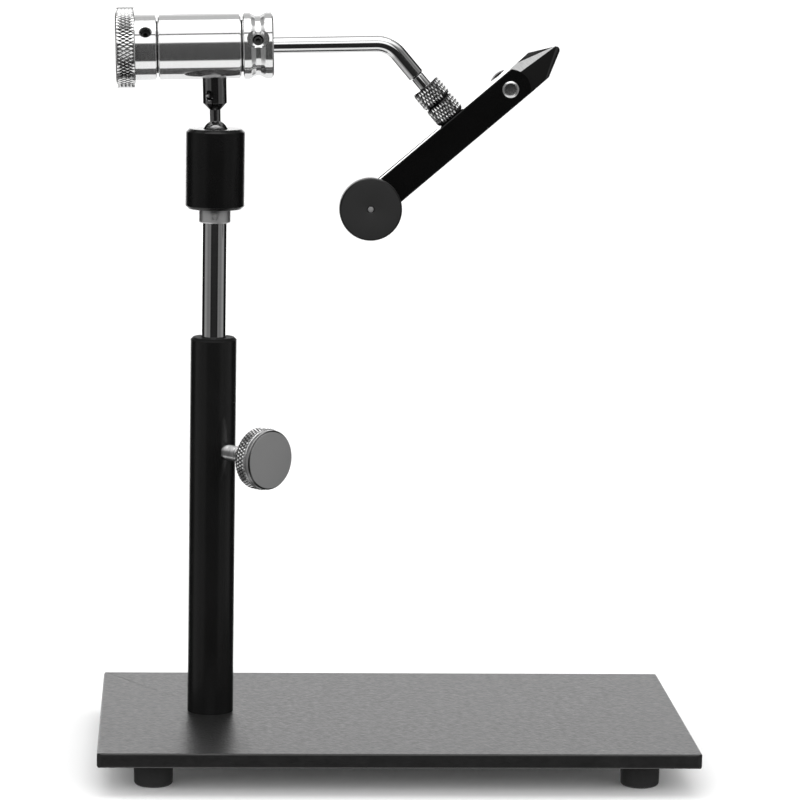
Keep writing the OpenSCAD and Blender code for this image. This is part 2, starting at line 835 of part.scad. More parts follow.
// Turns a point given as along, up, across into the jaws' frame
function place(p) = [p[0], p[2], p[1]];

// The front jaw's half of the gap, which widens from the adjusting screw to jaw_gap at the closing screw
module gap_wedge() {
    rear = -closing_u - jaw_w;
    slope = jaw_gap / 2 / (closing_u + pivot_u);
    translate([0, 0, -jaw_w]) linear_extrude(2 * jaw_w)
        polygon([[pivot_u, cut], [pivot_u, 0], [rear, slope * (rear - pivot_u)], [rear, cut]]);
}

// The front jaw's bar with its bevelled nose; the rear one is its mirror image
module jaw_bar() {
    difference() {
        intersection() {
            rotate([90, 0, 0]) linear_extrude(jaw_t) jaw_side();
            translate([-closing_u - jaw_w, 0, 0]) rotate([90, 0, 90])
                linear_extrude(closing_u + tip_u + 2 * jaw_w) jaw_section(-jaw_t, -face_gap / 2);
        }
        gap_wedge();
        nose_bevels();
    }
}

// A round hole across a jaw
module cross_hole(u, d) {
    translate([u, 0, 0]) rotate([90, 0, 0]) cylinder(d = d, h = 2 * jaws_t, center = true);
}

// A blind pocket for the spring, sunk into the jaws' meeting faces
module spring_pocket() {
    translate([spring_u, 0, 0]) rotate([90, 0, 0])
        cylinder(d = spring_d + 2 * spring_pocket_gap, h = 2 * spring_pocket_depth, center = true);
}

module fixed_jaw() {
    color([0.08, 0.08, 0.08]) in_jaws() difference() {
        union() {
            jaw_bar();
            translate([-saddle_l / 2, -jaw_gap, jaw_b - saddle_h])
                cube([saddle_l, jaw_gap + jaw_t - edge_bevel, saddle_h]);
        }
        cross_hole(pivot_u, adjuster_d + 2 * fit_gap);
        translate([pivot_u, -jaw_t - cut, 0]) rotate([-90, 0, 0])
            cylinder(d = adjuster_head_d + 2 * fit_gap, h = adjuster_head_t + cut);
        cross_hole(-closing_u, closing_screw_d + 2 * run_gap);
        translate([-guide_pin_u, -jaw_t + guide_pin_cover - face_gap, 0]) rotate([-90, 0, 0])
            cylinder(d = guide_pin_d + 2 * fit_gap, h = jaw_t);
        spring_pocket();
    }
}

module moving_jaw() {
    color([0.08, 0.08, 0.08]) in_jaws() difference() {
        mirror([0, 1, 0]) jaw_bar();
        translate([-saddle_l / 2 - saddle_gap, -cut, jaw_b - saddle_h - clear_gap])
            cube([saddle_l + 2 * saddle_gap, jaw_t + 2 * cut, saddle_h + clear_gap + cut]);
        cross_hole(pivot_u, adjuster_d + 2 * adjuster_hole_gap);
        translate([-guide_pin_u, 0, 0]) rotate([-90, 0, 0])
            cylinder(d = guide_pin_d + 2 * guide_hole_gap, h = jaws_t);
        spring_pocket();
    }
}

module adjusting_screw() {
    socket_d = adjuster_head_d * adjuster_socket_share;
    tail = jaws_t + clear_gap + adjuster_washer_t + adjuster_nut_w + adjuster_tail;
    color([0.75, 0.75, 0.75]) jaw_front(pivot_u, -jaw_t) mirror([0, 0, 1]) difference() {
        union() {
            turned(adjuster_head_d, adjuster_head_t, edge_bevel / 2);
            translate([0, 0, adjuster_head_t / 2]) cylinder(d = adjuster_d, h = tail - adjuster_head_t / 2);
        }
        translate([0, 0, -cut]) cylinder(d = socket_d, h = adjuster_socket_depth + cut);
    }
}

washer_y = jaw_t + clear_gap;

module adjusting_washer() {
    color([0.7, 0.7, 0.7]) in_jaws() translate([pivot_u, washer_y, 0]) rotate([-90, 0, 0])
        difference() {
            turned(adjuster_washer_d, adjuster_washer_t, edge_bevel);
            bore(adjuster_d + 2 * fit_gap, adjuster_washer_t);
        }
}

module adjusting_nut() {
    color([0.12, 0.12, 0.12]) in_jaws() translate([pivot_u, washer_y + adjuster_washer_t + run_gap, 0])
        rotate([-90, 0, 0]) difference() {
            turned(adjuster_nut_d, adjuster_nut_w, edge_bevel);
            bore(adjuster_d + 2 * run_gap, adjuster_nut_w);
        }
}

module guide_pin() {
    start = -jaw_t + guide_pin_cover;
    color([0.7, 0.7, 0.7]) in_jaws() translate([-guide_pin_u, start, 0]) rotate([-90, 0, 0])
        turned(guide_pin_d, guide_pin_end - start, edge_bevel / 2);
}

// A round wire swept along a helix
module coil(d, wire, height, turns) {
    count = turns * spring_steps;
    r = (d - wire) / 2;
    points = [for (s = [0 : count], k = [0 : spring_sides - 1])
        let (a = 360 * s / spring_steps, b = 360 * k / spring_sides, q = r + wire / 2 * cos(b))
        [q * cos(a), q * sin(a), wire / 2 + (height - wire) * s / count + wire / 2 * sin(b)]];
    sides = [for (s = [0 : count - 1], k = [0 : spring_sides - 1])
        let (j = (k + 1) % spring_sides, p = s * spring_sides, q = p + spring_sides)
        each [[p + k, p + j, q + j], [p + k, q + j, q + k]]];
    polyhedron(points, concat(sides, [[for (k = [spring_sides - 1 : -1 : 0]) k],
        [for (k = [0 : spring_sides - 1]) count * spring_sides + k]]), convexity = 6);
}

module jaw_spring() {
    length = 2 * spring_pocket_depth - face_gap;
    color([0.7, 0.7, 0.7]) in_jaws() translate([spring_u, -spring_pocket_depth, 0]) rotate([-90, 0, 0])
        coil(spring_d, spring_wire_d, length, spring_turns);
}

// Closing screw and knob

knob_face = jaw_t + closing_knob_stand + closing_knob_t;

module closing_screw() {
    tip_y = jaw_gap / 2 - clear_gap;
    length = tip_y + knob_face - closing_dimple_depth;
    color([0.75, 0.75, 0.75]) jaw_front(-closing_u, tip_y) rotate_extrude() polygon([[0, 0],
        [closing_tip_d / 4, 0], [closing_tip_d / 2, closing_tip_h / 2],
        [closing_tip_d / 2, closing_tip_h], [closing_screw_d / 2, closing_tip_h],
        [closing_screw_d / 2, length - closing_knob_t / 4],
        [closing_screw_end_d / 2, length - closing_knob_t / 4],
        [closing_screw_end_d / 2, length], [0, length]]);
}

module closing_knob() {
    color([0.12, 0.12, 0.12]) jaw_front(-closing_u, -jaw_t - closing_knob_stand) difference() {
        turned(closing_knob_d, closing_knob_t, closing_knob_bevel);
        translate([0, 0, -cut]) cylinder(d = closing_screw_d + 2 * run_gap,
            h = closing_knob_t * 3 / 4 - closing_dimple_depth + run_gap + cut);
        bore(closing_screw_end_d + 2 * run_gap, closing_knob_t);
        translate([0, 0, closing_knob_t - closing_dimple_depth])
            cylinder(d = closing_dimple_d, h = closing_dimple_depth + cut);
    }
}

base_plate();
foot_front_left();
foot_front_right();
foot_rear_left();
foot_rear_right();
foot_screws();
column();
column_bolt();
column_washer();
thumbscrew_stud();
thumbscrew_knob();
stem();
ball_socket();
socket_pin();
clamp_nut();
ball_seat();
ball_stud();
rotary_housing();
rear_bushing();
front_bushing();
rear_thrust_washer();
front_thrust_washer();
rotary_knob();
rear_set_screw();
front_collar();
front_set_screw();
crank_arm();
jaw_lock_nut();
jaw_collar();
jaw_collar_screw();
fixed_jaw();
moving_jaw();
adjusting_screw();
adjusting_washer();
adjusting_nut();
guide_pin();
jaw_spring();
closing_screw();
closing_knob();
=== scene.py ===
"""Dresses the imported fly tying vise: turned, knurled and threaded pieces, finishes and a studio."""

import json
from math import asin, cos, degrees, hypot, pi, radians, sin, tan

import bmesh
import bpy
from bpy.props import FloatProperty, FloatVectorProperty, IntProperty, PointerProperty
from mathutils import Matrix, Vector
from mathutils.geometry import intersect_line_line


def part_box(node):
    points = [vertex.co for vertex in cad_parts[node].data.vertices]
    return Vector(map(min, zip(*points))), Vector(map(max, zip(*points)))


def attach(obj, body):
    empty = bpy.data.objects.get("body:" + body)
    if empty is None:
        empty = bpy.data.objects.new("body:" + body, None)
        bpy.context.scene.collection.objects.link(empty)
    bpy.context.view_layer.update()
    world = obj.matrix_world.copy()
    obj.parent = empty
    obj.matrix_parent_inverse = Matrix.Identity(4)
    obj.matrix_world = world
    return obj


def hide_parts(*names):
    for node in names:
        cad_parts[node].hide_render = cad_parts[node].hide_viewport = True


bl_info = {
    "name": "Fly Tying Vise Dresser",
    "version": (1, 0, 0),
    "blender": (4, 5, 0),
    "location": "View3D > Sidebar > Vise",
    "description": "Dresses a fly tying vise with turned, knurled and powder-coated pieces",
    "category": "Object",
}

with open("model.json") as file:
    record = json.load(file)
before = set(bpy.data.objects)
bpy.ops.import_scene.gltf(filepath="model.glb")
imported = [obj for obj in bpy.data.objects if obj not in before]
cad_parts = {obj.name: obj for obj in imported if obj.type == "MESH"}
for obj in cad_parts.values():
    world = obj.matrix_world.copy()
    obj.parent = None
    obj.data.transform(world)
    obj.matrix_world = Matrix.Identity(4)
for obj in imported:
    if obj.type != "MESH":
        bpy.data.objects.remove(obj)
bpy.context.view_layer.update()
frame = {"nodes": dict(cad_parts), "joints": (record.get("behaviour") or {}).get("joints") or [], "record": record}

MM = 0.001
FULL_TURN = 2 * pi
JOINTS = {joint["name"]: joint for joint in frame["joints"]}
BODIES = frame["record"]["behaviour"]["bodies"]
BODY_OF = {node: body for body, nodes in BODIES.items() for node in nodes}

# What every piece's name ends with, and the angle from which its edges stay sharp
PIECE = "_piece"
SHARP = radians(34)

# Gaps round parts that run in each other and round parts that sit tight, in millimetres
RUN_GAP = 0.05
FIT_GAP = 0.02

# Sizes in millimetres that several pieces share: the radii of the ball stud's body and thin tip, the
# tip's length, the bevels of the barrel, the radius of its set screws' holes, the painted shade rim round the
# thumbscrew's and the closing knob's face, and how far the thumbscrew's smooth band lies inside its knurl
STUD_BODY = 4.7
STUD_TIP = 3
TIP_LENGTH = 4.5
BARREL_BEVEL = 0.5
SET_SCREW = 2.12
RIM_WIDTH = 0.65
THUMB_STEP = 0.5


# Places: each is a matrix whose Z axis is the axis of the pieces that use it


def place_from(origin, x, y, z):
    """A place with its origin and three axes in the row frame."""
    turn = Matrix((x, y, z)).transposed().to_4x4()
    return Matrix.Translation(origin) @ turn


def foot_on_axis(point, origin, axis):
    """The point of an axis nearest to a given point."""
    return origin + axis * (point - origin).dot(axis)


def column_axis():
    """Where the column's axis meets the plate's upper face."""
    low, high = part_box("column")
    return Vector(((low.x + high.x) / 2, (low.y + high.y) / 2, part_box("base_plate")[1].z))


def joint_axis(name):
    """The direction of a joint's axis."""
    return Vector(JOINTS[name]["axis"]).normalized()


def joint_point(name):
    """A point on a joint's axis."""
    return Vector(JOINTS[name]["pos_m"])


RIGHT = Vector((1, 0, 0))
BACK = Vector((0, 1, 0))
UP = Vector((0, 0, 1))
POST_FOOT = column_axis()
HEAD_X = joint_axis("rotary_turn")
HEAD_UP = HEAD_X.cross(BACK).normalized()
BALL = joint_point("head_tilt")
AXIS_POINT = joint_point("rotary_turn")
LEG_AXIS = joint_axis("jaw_swivel")
LEG_POINT = joint_point("jaw_swivel")
JAW_PIVOT = joint_point("jaw_open")
JAW_X = BACK.cross(-LEG_AXIS).normalized()
JAW_CENTRE = foot_on_axis(JAW_PIVOT, LEG_POINT, LEG_AXIS)
CRANK_CORNER = intersect_line_line(
    AXIS_POINT, AXIS_POINT + HEAD_X, LEG_POINT, LEG_POINT + LEG_AXIS)[0]
THUMB_AXIS = joint_axis("thumbscrew_turn")
THUMB_FOOT = foot_on_axis(POST_FOOT, joint_point("thumbscrew_turn"), THUMB_AXIS)
KNOB_FOOT = foot_on_axis(JAW_CENTRE, joint_point("closing_knob_turn"), BACK)

POST = place_from(POST_FOOT, RIGHT, BACK, UP)
STUD = place_from(BALL, HEAD_X, BACK, HEAD_UP)
ROTARY = place_from(AXIS_POINT, HEAD_UP, -BACK, HEAD_X)
LEG = place_from(CRANK_CORNER, BACK, LEG_AXIS.cross(BACK), LEG_AXIS)
JAWS = place_from(JAW_CENTRE, JAW_X, BACK, -LEG_AXIS)
THUMB = place_from(THUMB_FOOT, UP, THUMB_AXIS.cross(UP), THUMB_AXIS)
CLOSER = place_from(KNOB_FOOT, JAW_X, -BACK.cross(JAW_X), -BACK)
ADJUSTER = place_from(JAW_PIVOT, JAW_X, BACK.cross(JAW_X), BACK)


def spots(node, place):
    """The CAD node's corners as radius and height about a place's Z axis, in millimetres."""
    back = place.inverted()
    points = [back @ v.co for v in frame["nodes"][node].data.vertices]
    return [(hypot(p.x, p.y) / MM, p.z / MM) for p in points]


def reach(node, place):
    """Largest radius, lowest and highest height of a CAD node, in millimetres."""
    corners = spots(node, place)
    heights = [z for r, z in corners]
    return max(r for r, z in corners), min(heights), max(heights)


def bore_of(node, place):
    """Radius of a CAD node's own bore, in millimetres."""
    return min(r for r, z in spots(node, place))


def across(place, height, angle):
    """A place whose Z points out from a place's axis, at a height in millimetres."""
    out = Vector((cos(angle), sin(angle), 0))
    side = Vector((-sin(angle), cos(angle), 0))
    return place @ place_from(UP * (height * MM), side, UP, out)


# Sizes and colours that a user would change


def length(name, default, description):
    """A length in millimetres for the sidebar."""
    return FloatProperty(name=name, default=default, min=0, description=description)


def knurl(name, default):
    """The sizes of a knurl's diamonds for the sidebar."""
    return FloatVectorProperty(
        name=name, default=default, size=3, min=0,
        description="Width of a diamond, distance between the rows, and height of a diamond")


def tint(name, grey, description, warm=0.0):
    """A colour near grey for the sidebar."""
    return FloatVectorProperty(
        name=name, size=3, subtype="COLOR", min=0, max=1, description=description,
        default=(grey * (1 + warm), grey, grey * (1 - warm)))


class ViseTurning(bpy.types.PropertyGroup):
    """Edges, knurls and threads of the turned pieces, in millimetres."""

    edge: length("Edge", 0.22, "Rounding of a turned edge")
    sides: IntProperty(name="Sides", default=128, min=24, description="Faces round a turned piece")
    wheel: knurl("Rotary knob", (1.45, 1.4, 0.3))
    thumb: knurl("Thumbscrew", (1.4, 1.25, 0.32))
    grip: knurl("Small grips", (1.3, 1.45, 0.45))
    stud_pitch: length("Thread pitch", 1.27, "Pitch of the thumbscrew's thread")
    stud_thread: length("Thread depth", 0.5, "Depth of the thumbscrew's thread")


class ViseFinishes(bpy.types.PropertyGroup):
    """Colours of the finishes."""

    powder: tint("Powder coat", 0.0065, "Hammered black powder coat of the plate")
    satin: tint("Satin black", 0.0045, "Smooth black coat of the column")
    oxide: tint("Black oxide", 0.0028, "Black oxide of the jaws and the clamp nut")
    anodised: tint("Black anodised", 0.02, "Anodised closing knob")
    rubber: tint("Rubber", 0.012, "Feet")
    aluminium: tint("Aluminium", 0.9, "Polished barrel")
    chrome: tint("Chrome", 0.82, "Stem and crank arm")
    steel: tint("Steel", 0.8, "Turned and plated steel")
    brushed: tint("Brushed steel", 0.62, "Face of the thumbscrew")
    dark_steel: tint("Dark steel", 0.3, "Hardened ball stud")
    bronze: tint("Bronze", 0.45, "Bearings", 0.35)


class ViseStudio(bpy.types.PropertyGroup):
    """Camera and light."""

    lens: FloatProperty(name="Lens", default=165.92, description="Focal length in millimetres")
    yaw: FloatProperty(name="Yaw", default=3.537, description="Turn to the right, in degrees")
    pitch: FloatProperty(name="Pitch", default=8.431, description="Tilt down, in degrees")
    roll: FloatProperty(name="Roll", default=0.969, description="Roll, in degrees")
    place: FloatVectorProperty(
        name="Place", size=3, default=(-86.75, -1428.14, 354.37),
        description="Camera's place in millimetres")
    sky: FloatProperty(
        name="Sky", default=1, min=0, max=1, description="Brightness of the light from all round")


# Meshes


def mesh_object(name, bm, place=None):
    """A new object in the scene from a bmesh, moved to its place."""
    if place is not None:
        bmesh.ops.transform(bm, matrix=place, verts=bm.verts)
    mesh = bpy.data.meshes.new(name)
    bm.to_mesh(mesh)
    bm.free()
    piece = bpy.data.objects.new(name, mesh)
    bpy.context.scene.collection.objects.link(piece)
    return piece


def set_down(piece):
    """Turns the piece and its modifiers into a plain mesh."""
    graph = bpy.context.evaluated_depsgraph_get()
    graph.update()
    mesh = bpy.data.meshes.new_from_object(piece.evaluated_get(graph), depsgraph=graph)
    piece.modifiers.clear()
    old = piece.data
    piece.data = mesh
    bpy.data.meshes.remove(old)
    mesh.name = piece.name
    return piece


def softened(piece, edge):
    """Rounds the piece's edges and evens out its shading."""
    piece.data.set_sharp_from_angle(angle=SHARP)
    if edge:
        bevel = piece.modifiers.new("Edges", "BEVEL")
        bevel.width = edge * MM
        bevel.segments = 2
        bevel.limit_method = "ANGLE"
        bevel.angle_limit = SHARP
        bevel.use_clamp_overlap = True
        bevel.miter_outer = "MITER_ARC"
    weights = piece.modifiers.new("Weights", "WEIGHTED_NORMAL")
    weights.keep_sharp = True
    return set_down(piece)


def copied(node, edge):
    """A merged and softened copy of a CAD node."""
    bm = bmesh.new()
    bm.from_mesh(frame["nodes"][node].data)
    bmesh.ops.remove_doubles(bm, verts=bm.verts, dist=MM / 500)
    bmesh.ops.dissolve_limit(
        bm, angle_limit=radians(0.4), verts=bm.verts, edges=bm.edges, delimit={"NORMAL"})
    bmesh.ops.dissolve_degenerate(bm, edges=bm.edges, dist=MM / 200)
    for face in bm.faces:
        face.smooth = True
    return softened(mesh_object(node + PIECE, bm), edge)


def rounded(corners, edge, steps=3):
    """The profile with each corner that isn't on the axis rounded by a small arc."""
    if not edge:
        return list(corners)
    slight = radians(8)
    points = [corners[0]]
    for last, corner, following in zip(corners, corners[1:], corners[2:]):
        here = Vector(corner)
        before = Vector(last) - here
        after = Vector(following) - here
        bare = corner[0] < edge or before.length * after.length == 0
        turn = 0 if bare else pi - before.angle(after)
        if turn < slight:
            points.append(corner)
            continue
        cut = min(edge * tan(turn / 2), before.length * 0.45, after.length * 0.45)
        start = here + before.normalized() * cut
        end = here + after.normalized() * cut
        for k in range(steps + 1):
            t = k / steps
            point = start * (1 - t) ** 2 + here * 2 * t * (1 - t) + end * t * t
            points.append((point.x, point.y))
    return [*points, corners[-1]]


def turned(name, corners, place, edge=None, sides=None):
    """A lathe piece: the profile of radius and height pairs, in millimetres, spun about Z."""
    sizes = bpy.context.scene.vise_turning
    sides = sides or sizes.sides
    profile = rounded(corners, sizes.edge if edge is None else edge)
    on_axis = 1e-6
    turns = [FULL_TURN * k / sides for k in range(sides)]
    bm = bmesh.new()
    rings = []
    for r, z in profile:
        ways = [(r * cos(a), r * sin(a)) for a in turns] if r >= on_axis else [(0, 0)]
        rings.append([bm.verts.new((x * MM, y * MM, z * MM)) for x, y in ways])
    closing = rings[:1] if profile[0][0] > on_axis else []
    for low, high in zip(rings, rings[1:] + closing):
        if len(low) == len(high) == 1:
            continue
        for k in range(sides):
            n = (k + 1) % sides
            if len(low) == 1:
                bm.faces.new((low[0], high[n], high[k]))
            elif len(high) == 1:
                bm.faces.new((low[k], low[n], high[0]))
            else:
                bm.faces.new((low[k], low[n], high[n], high[k]))
    bmesh.ops.recalc_face_normals(bm, faces=bm.faces)
    for face in bm.faces:
        face.smooth = True
    piece = mesh_object(name, bm, place)
    piece.data.set_sharp_from_angle(angle=SHARP)
    return piece


def drill(piece, cutters):
    """Cuts the cutters out of the piece, and removes them."""
    for cutter in cutters:
        hole = piece.modifiers.new("Hole", "BOOLEAN")
        hole.operation = "DIFFERENCE"
        hole.solver = "EXACT"
        hole.object = cutter
    set_down(piece)
    for cutter in cutters:
        bpy.data.objects.remove(cutter)


def turned_normals(piece, place):
    """Gives faces that look straight out from the axis the normals of a true cylinder."""
    mesh = piece.data
    back = place.inverted()
    turn = place.to_3x3()
    straight_out = cos(radians(22))
    nothing = 1e-9
    mesh.set_sharp_from_angle(angle=SHARP)
    normals = [Vector(n.vector) for n in mesh.corner_normals]
    for face in mesh.polygons:
        centre = back @ face.center
        out = Vector((centre.x, centre.y, 0))
        if out.length < nothing:
            continue
        facing = (turn @ out.normalized()).dot(face.normal)
        if abs(facing) < straight_out:
            continue
        sign = 1 if facing > 0 else -1
        for loop in face.loop_indices:
            p = back @ mesh.vertices[mesh.loops[loop].vertex_index].co
            radial = Vector((p.x, p.y, 0))
            if radial.length > nothing and radial.angle(out) < radians(30):
                normals[loop] = turn @ radial.normalized() * sign
    mesh.normals_split_custom_set([tuple(n) for n in normals])


def rod_cutter(place, radius, low, high, sides=48):
    """A plain round cutter along a place's Z axis, in millimetres."""
    return turned("cutter", [(0, low), (radius, low), (radius, high), (0, high)], place, 0, sides)


def mouth_cutter(place, radius, mouth, surface):
    """A cutter for the bevelled mouth of a hole in a surface at a height."""
    deep = mouth - radius
    return turned("cutter", [
        (0, surface - deep), (radius, surface - deep), (mouth + deep, surface + deep),
        (0, surface + deep)], place, 0, 64)


def drum_profile(bore, r, low, high, bevel):
    """Profile of a hollow drum with bevelled ends."""
    return [(bore, low), (r - bevel, low), (r, low + bevel), (r, high - bevel), (r - bevel, high),
            (bore, high)]


def hollow(r, middle, width, depth, steps=24):
    """Profile of a soft-edged groove of a width and depth in a cylinder of radius r."""
    turns = [FULL_TURN * k / steps for k in range(steps + 1)]
    return [(r - depth * (1 - cos(t)) / 2, middle + width * (t / FULL_TURN - 0.5)) for t in turns]


def ball_arc(radius, centre, first, last, steps):
    """Profile of a ball between two angles from its lowest point, in degrees."""
    angles = [radians(first + (last - first) * k / steps) for k in range(steps + 1)]
    return [(radius * sin(a), centre - radius * cos(a)) for a in angles]


# Nodes


def sum_node(operation, swapped=False):
    """A method of Wire that adds one sum; when swapped, the wire comes second."""
    def method(self, other=0.0):
        first, second = (other, self) if swapped else (self, other)
        return self.graph.add("ShaderNodeMath", {0: first, 1: second}, operation=operation)
    return method


class Wire:
    """A node's socket that sums can be written on."""

    def __init__(self, graph, socket):
        self.graph = graph
        self.socket = socket

    __add__ = sum_node("ADD")
    __radd__ = sum_node("ADD", True)
    __sub__ = sum_node("SUBTRACT")
    __rsub__ = sum_node("SUBTRACT", True)
    __mul__ = sum_node("MULTIPLY")
    __rmul__ = sum_node("MULTIPLY", True)
    __truediv__ = sum_node("DIVIDE")
    __mod__ = sum_node("MODULO")
    __abs__ = sum_node("ABSOLUTE")
    floor = sum_node("FLOOR")
    cosine = sum_node("COSINE")
    sine = sum_node("SINE")
    above = sum_node("GREATER_THAN")
    angle_from = sum_node("ARCTAN2")

    def clamp(self):
        """The value held between 0 and 1."""
        return self.graph.add("ShaderNodeClamp", {0: self})


class Graph:
    """A node tree that nodes are added to."""

    def __init__(self, tree):
        self.tree = tree

    def add(self, kind, values=None, output=0, **settings):
        """A node of a type, with its settings first and then its sockets' values or links."""
        node = self.tree.nodes.new(kind)
        for key, value in settings.items():
            setattr(node, key, value)
        for key, value in (values or {}).items():
            socket = node.inputs[key]
            if isinstance(value, Wire):
                self.tree.links.new(value.socket, socket)
            else:
                socket.default_value = value
        return None if output is None else Wire(self, node.outputs[output])


# Geometry nodes


class ShapeTree(Graph):
    """A geometry node tree with named inputs, which ends in real meshes with a material."""

    def __init__(self, name):
        super().__init__(bpy.data.node_groups.new(name, "GeometryNodeTree"))
        self.socket("Geometry", "Geometry", "OUTPUT")
        self.entry = self.tree.nodes.new("NodeGroupInput")
        self.identifiers = {}

    def socket(self, name, kind, in_out):
        """A new socket on the outside of the tree."""
        return self.tree.interface.new_socket(name, in_out=in_out, socket_type="NodeSocket" + kind)

    def inputs(self, kind, *names):
        """Wires from new named inputs of one kind."""
        for name in names:
            self.identifiers[name] = self.socket(name, kind, "INPUT").identifier
        sockets = {socket.identifier: socket for socket in self.entry.outputs}
        return [Wire(self, sockets[self.identifiers[name]]) for name in names]

    def finish(self, geometry):
        """Ends the tree."""
        material, = self.inputs("Material", "Material")
        real = self.add("GeometryNodeRealizeInstances", {0: geometry})
        shaded = self.add("GeometryNodeSetMaterial", {"Geometry": real, "Material": material})
        self.add("NodeGroupOutput", {0: shaded}, None)
        return self

    def make(self, name, values, finish, place):
        """An object made by the tree, as a plain mesh in its place."""
        piece = bpy.data.objects.new(name, bpy.data.meshes.new(name))
        bpy.context.scene.collection.objects.link(piece)
        modifier = piece.modifiers.new("Shape", "NODES")
        modifier.node_group = self.tree
        for key, value in {**values, "Material": FINISHES[finish]}.items():
            modifier[self.identifiers[key]] = value
        set_down(piece)
        piece.data.transform(place)
        return piece


def knurl_tree():
    """Rows of staggered diamonds round a drum."""
    tree = ShapeTree("Diamond knurl")
    radius, width, depth, flat = tree.inputs("Float", "Radius", "Width", "Depth", "Flat top")
    teeth, rows = tree.inputs("Int", "Teeth", "Rows")
    points = tree.add("GeometryNodePoints", {"Count": teeth * rows})
    index = tree.add("GeometryNodeInputIndex")
    row = (index / teeth).floor()
    step = index % teeth + row % 2.0 * 0.5
    angle = step / teeth * FULL_TURN
    pitch = width / (rows + 1.0)
    floor = radius - depth
    x = angle.cosine()
    y = angle.sine()
    outward = tree.add("ShaderNodeCombineXYZ", {"X": x, "Y": y})
    spot = tree.add(
        "ShaderNodeCombineXYZ", {"X": x * floor, "Y": y * floor, "Z": (row + 1.0) * pitch})
    placed = tree.add("GeometryNodeSetPosition", {"Geometry": points, "Position": spot})
    facing = tree.add(
        "FunctionNodeAxesToRotation", {0: outward, 1: (0.0, 0.0, 1.0)},
        primary_axis="Z", secondary_axis="X")
    diamond = tree.add("GeometryNodeMeshCone", {
        "Vertices": 4, "Radius Top": flat, "Radius Bottom": 1.0, "Depth": 1.0},
        fill_type="TRIANGLE_FAN")
    size = tree.add("ShaderNodeCombineXYZ", {"X": pitch, "Y": floor * pi / teeth, "Z": depth})
    return tree.finish(tree.add("GeometryNodeInstanceOnPoints", {
        "Points": placed, "Instance": diamond, "Rotation": facing, "Scale": size}))


def coil_tree():
    """A ridge or a wire wound round an axis."""
    tree = ShapeTree("Coil")
    radius, pitch, wire, turns = tree.inputs("Float", "Radius", "Pitch", "Wire radius", "Turns")
    sides, = tree.inputs("Int", "Sides")
    spiral = tree.add("GeometryNodeCurveSpiral", {
        "Resolution": 48, "Rotations": turns, "Start Radius": radius, "End Radius": radius,
        "Height": pitch * turns})
    section = tree.add("GeometryNodeCurvePrimitiveCircle", {"Resolution": sides, "Radius": wire})
    return tree.finish(tree.add(
        "GeometryNodeCurveToMesh", {0: spiral, 1: section, "Fill Caps": True}))


def bent_rod_tree():
    """A round rod along two straight runs with a smooth bend between them."""
    tree = ShapeTree("Bent rod")
    start, corner, end = tree.inputs("Vector", "Start", "Corner", "End")
    bend, radius = tree.inputs("Float", "Bend radius", "Rod radius")
    points = tree.add("GeometryNodeMeshLine", {"Count": 3}, count_mode="TOTAL", mode="OFFSET")
    index = tree.add("GeometryNodeInputIndex")
    late = tree.add(
        "GeometryNodeSwitch", {0: index.above(1.5), 1: corner, 2: end}, input_type="VECTOR")
    early = tree.add(
        "GeometryNodeSwitch", {0: index.above(0.5), 1: start, 2: late}, input_type="VECTOR")
    placed = tree.add("GeometryNodeSetPosition", {"Geometry": points, "Position": early})
    run = tree.add("GeometryNodeMeshToCurve", {0: placed})
    fillet = tree.add("GeometryNodeFilletCurve", {
        "Curve": run, "Count": 40, "Radius": bend, "Limit Radius": True}, mode="POLY")
    ring = tree.add("GeometryNodeCurvePrimitiveCircle", {"Resolution": 96, "Radius": radius})
    return tree.finish(tree.add(
        "GeometryNodeCurveToMesh", {0: fillet, 1: ring, "Fill Caps": True}))


def knurled(place, r, ends, kind, finish, flat):
    """The diamonds of a knurled drum whose crests reach radius r, in millimetres."""
    low, high = ends
    pitch, row, depth = getattr(bpy.context.scene.vise_turning, kind)
    return knurl_tree().make("diamonds", {
        "Radius": r * MM, "Width": (high - low) * MM, "Depth": depth * MM, "Flat top": flat,
        "Teeth": round(FULL_TURN * r / pitch), "Rows": round((high - low) / row) - 1,
    }, finish, place @ Matrix.Translation((0, 0, low * MM)))


def wound(name, place, r, ends, pitch, wire, sides, finish):
    """A thread's ridge or a spring's wire between two heights, in millimetres."""
    low, high = ends
    return coil_tree().make(name, {
        "Radius": r * MM, "Pitch": pitch * MM, "Wire radius": wire * MM,
        "Turns": (high - low) / pitch, "Sides": sides,
    }, finish, place @ Matrix.Translation((0, 0, low * MM)))


# Finishes


class Shading(Graph):
    """A shader tree."""

    def blend(self, share, first, last):
        """A mix of two shaders."""
        return self.add("ShaderNodeMixShader", {0: share, 1: first, 2: last})

    def smooth(self, wire, low, high):
        """Rises smoothly from 0 to 1 between two values."""
        return self.add("ShaderNodeMapRange", {
            "Value": wire, "From Min": low, "From Max": high}, interpolation_type="SMOOTHSTEP")

    def ramp(self, wire, stops):
        """Greys at given places from 0 to 1, with straight runs between them."""
        grey = self.add("ShaderNodeValToRGB", {0: wire})
        points = grey.socket.node.color_ramp.elements
        while len(points) < len(stops):
            points.new(0.5)
        for point, (place, level) in zip(points, stops):
            point.position = place
            point.color = (level, level, level, 1)
        return grey


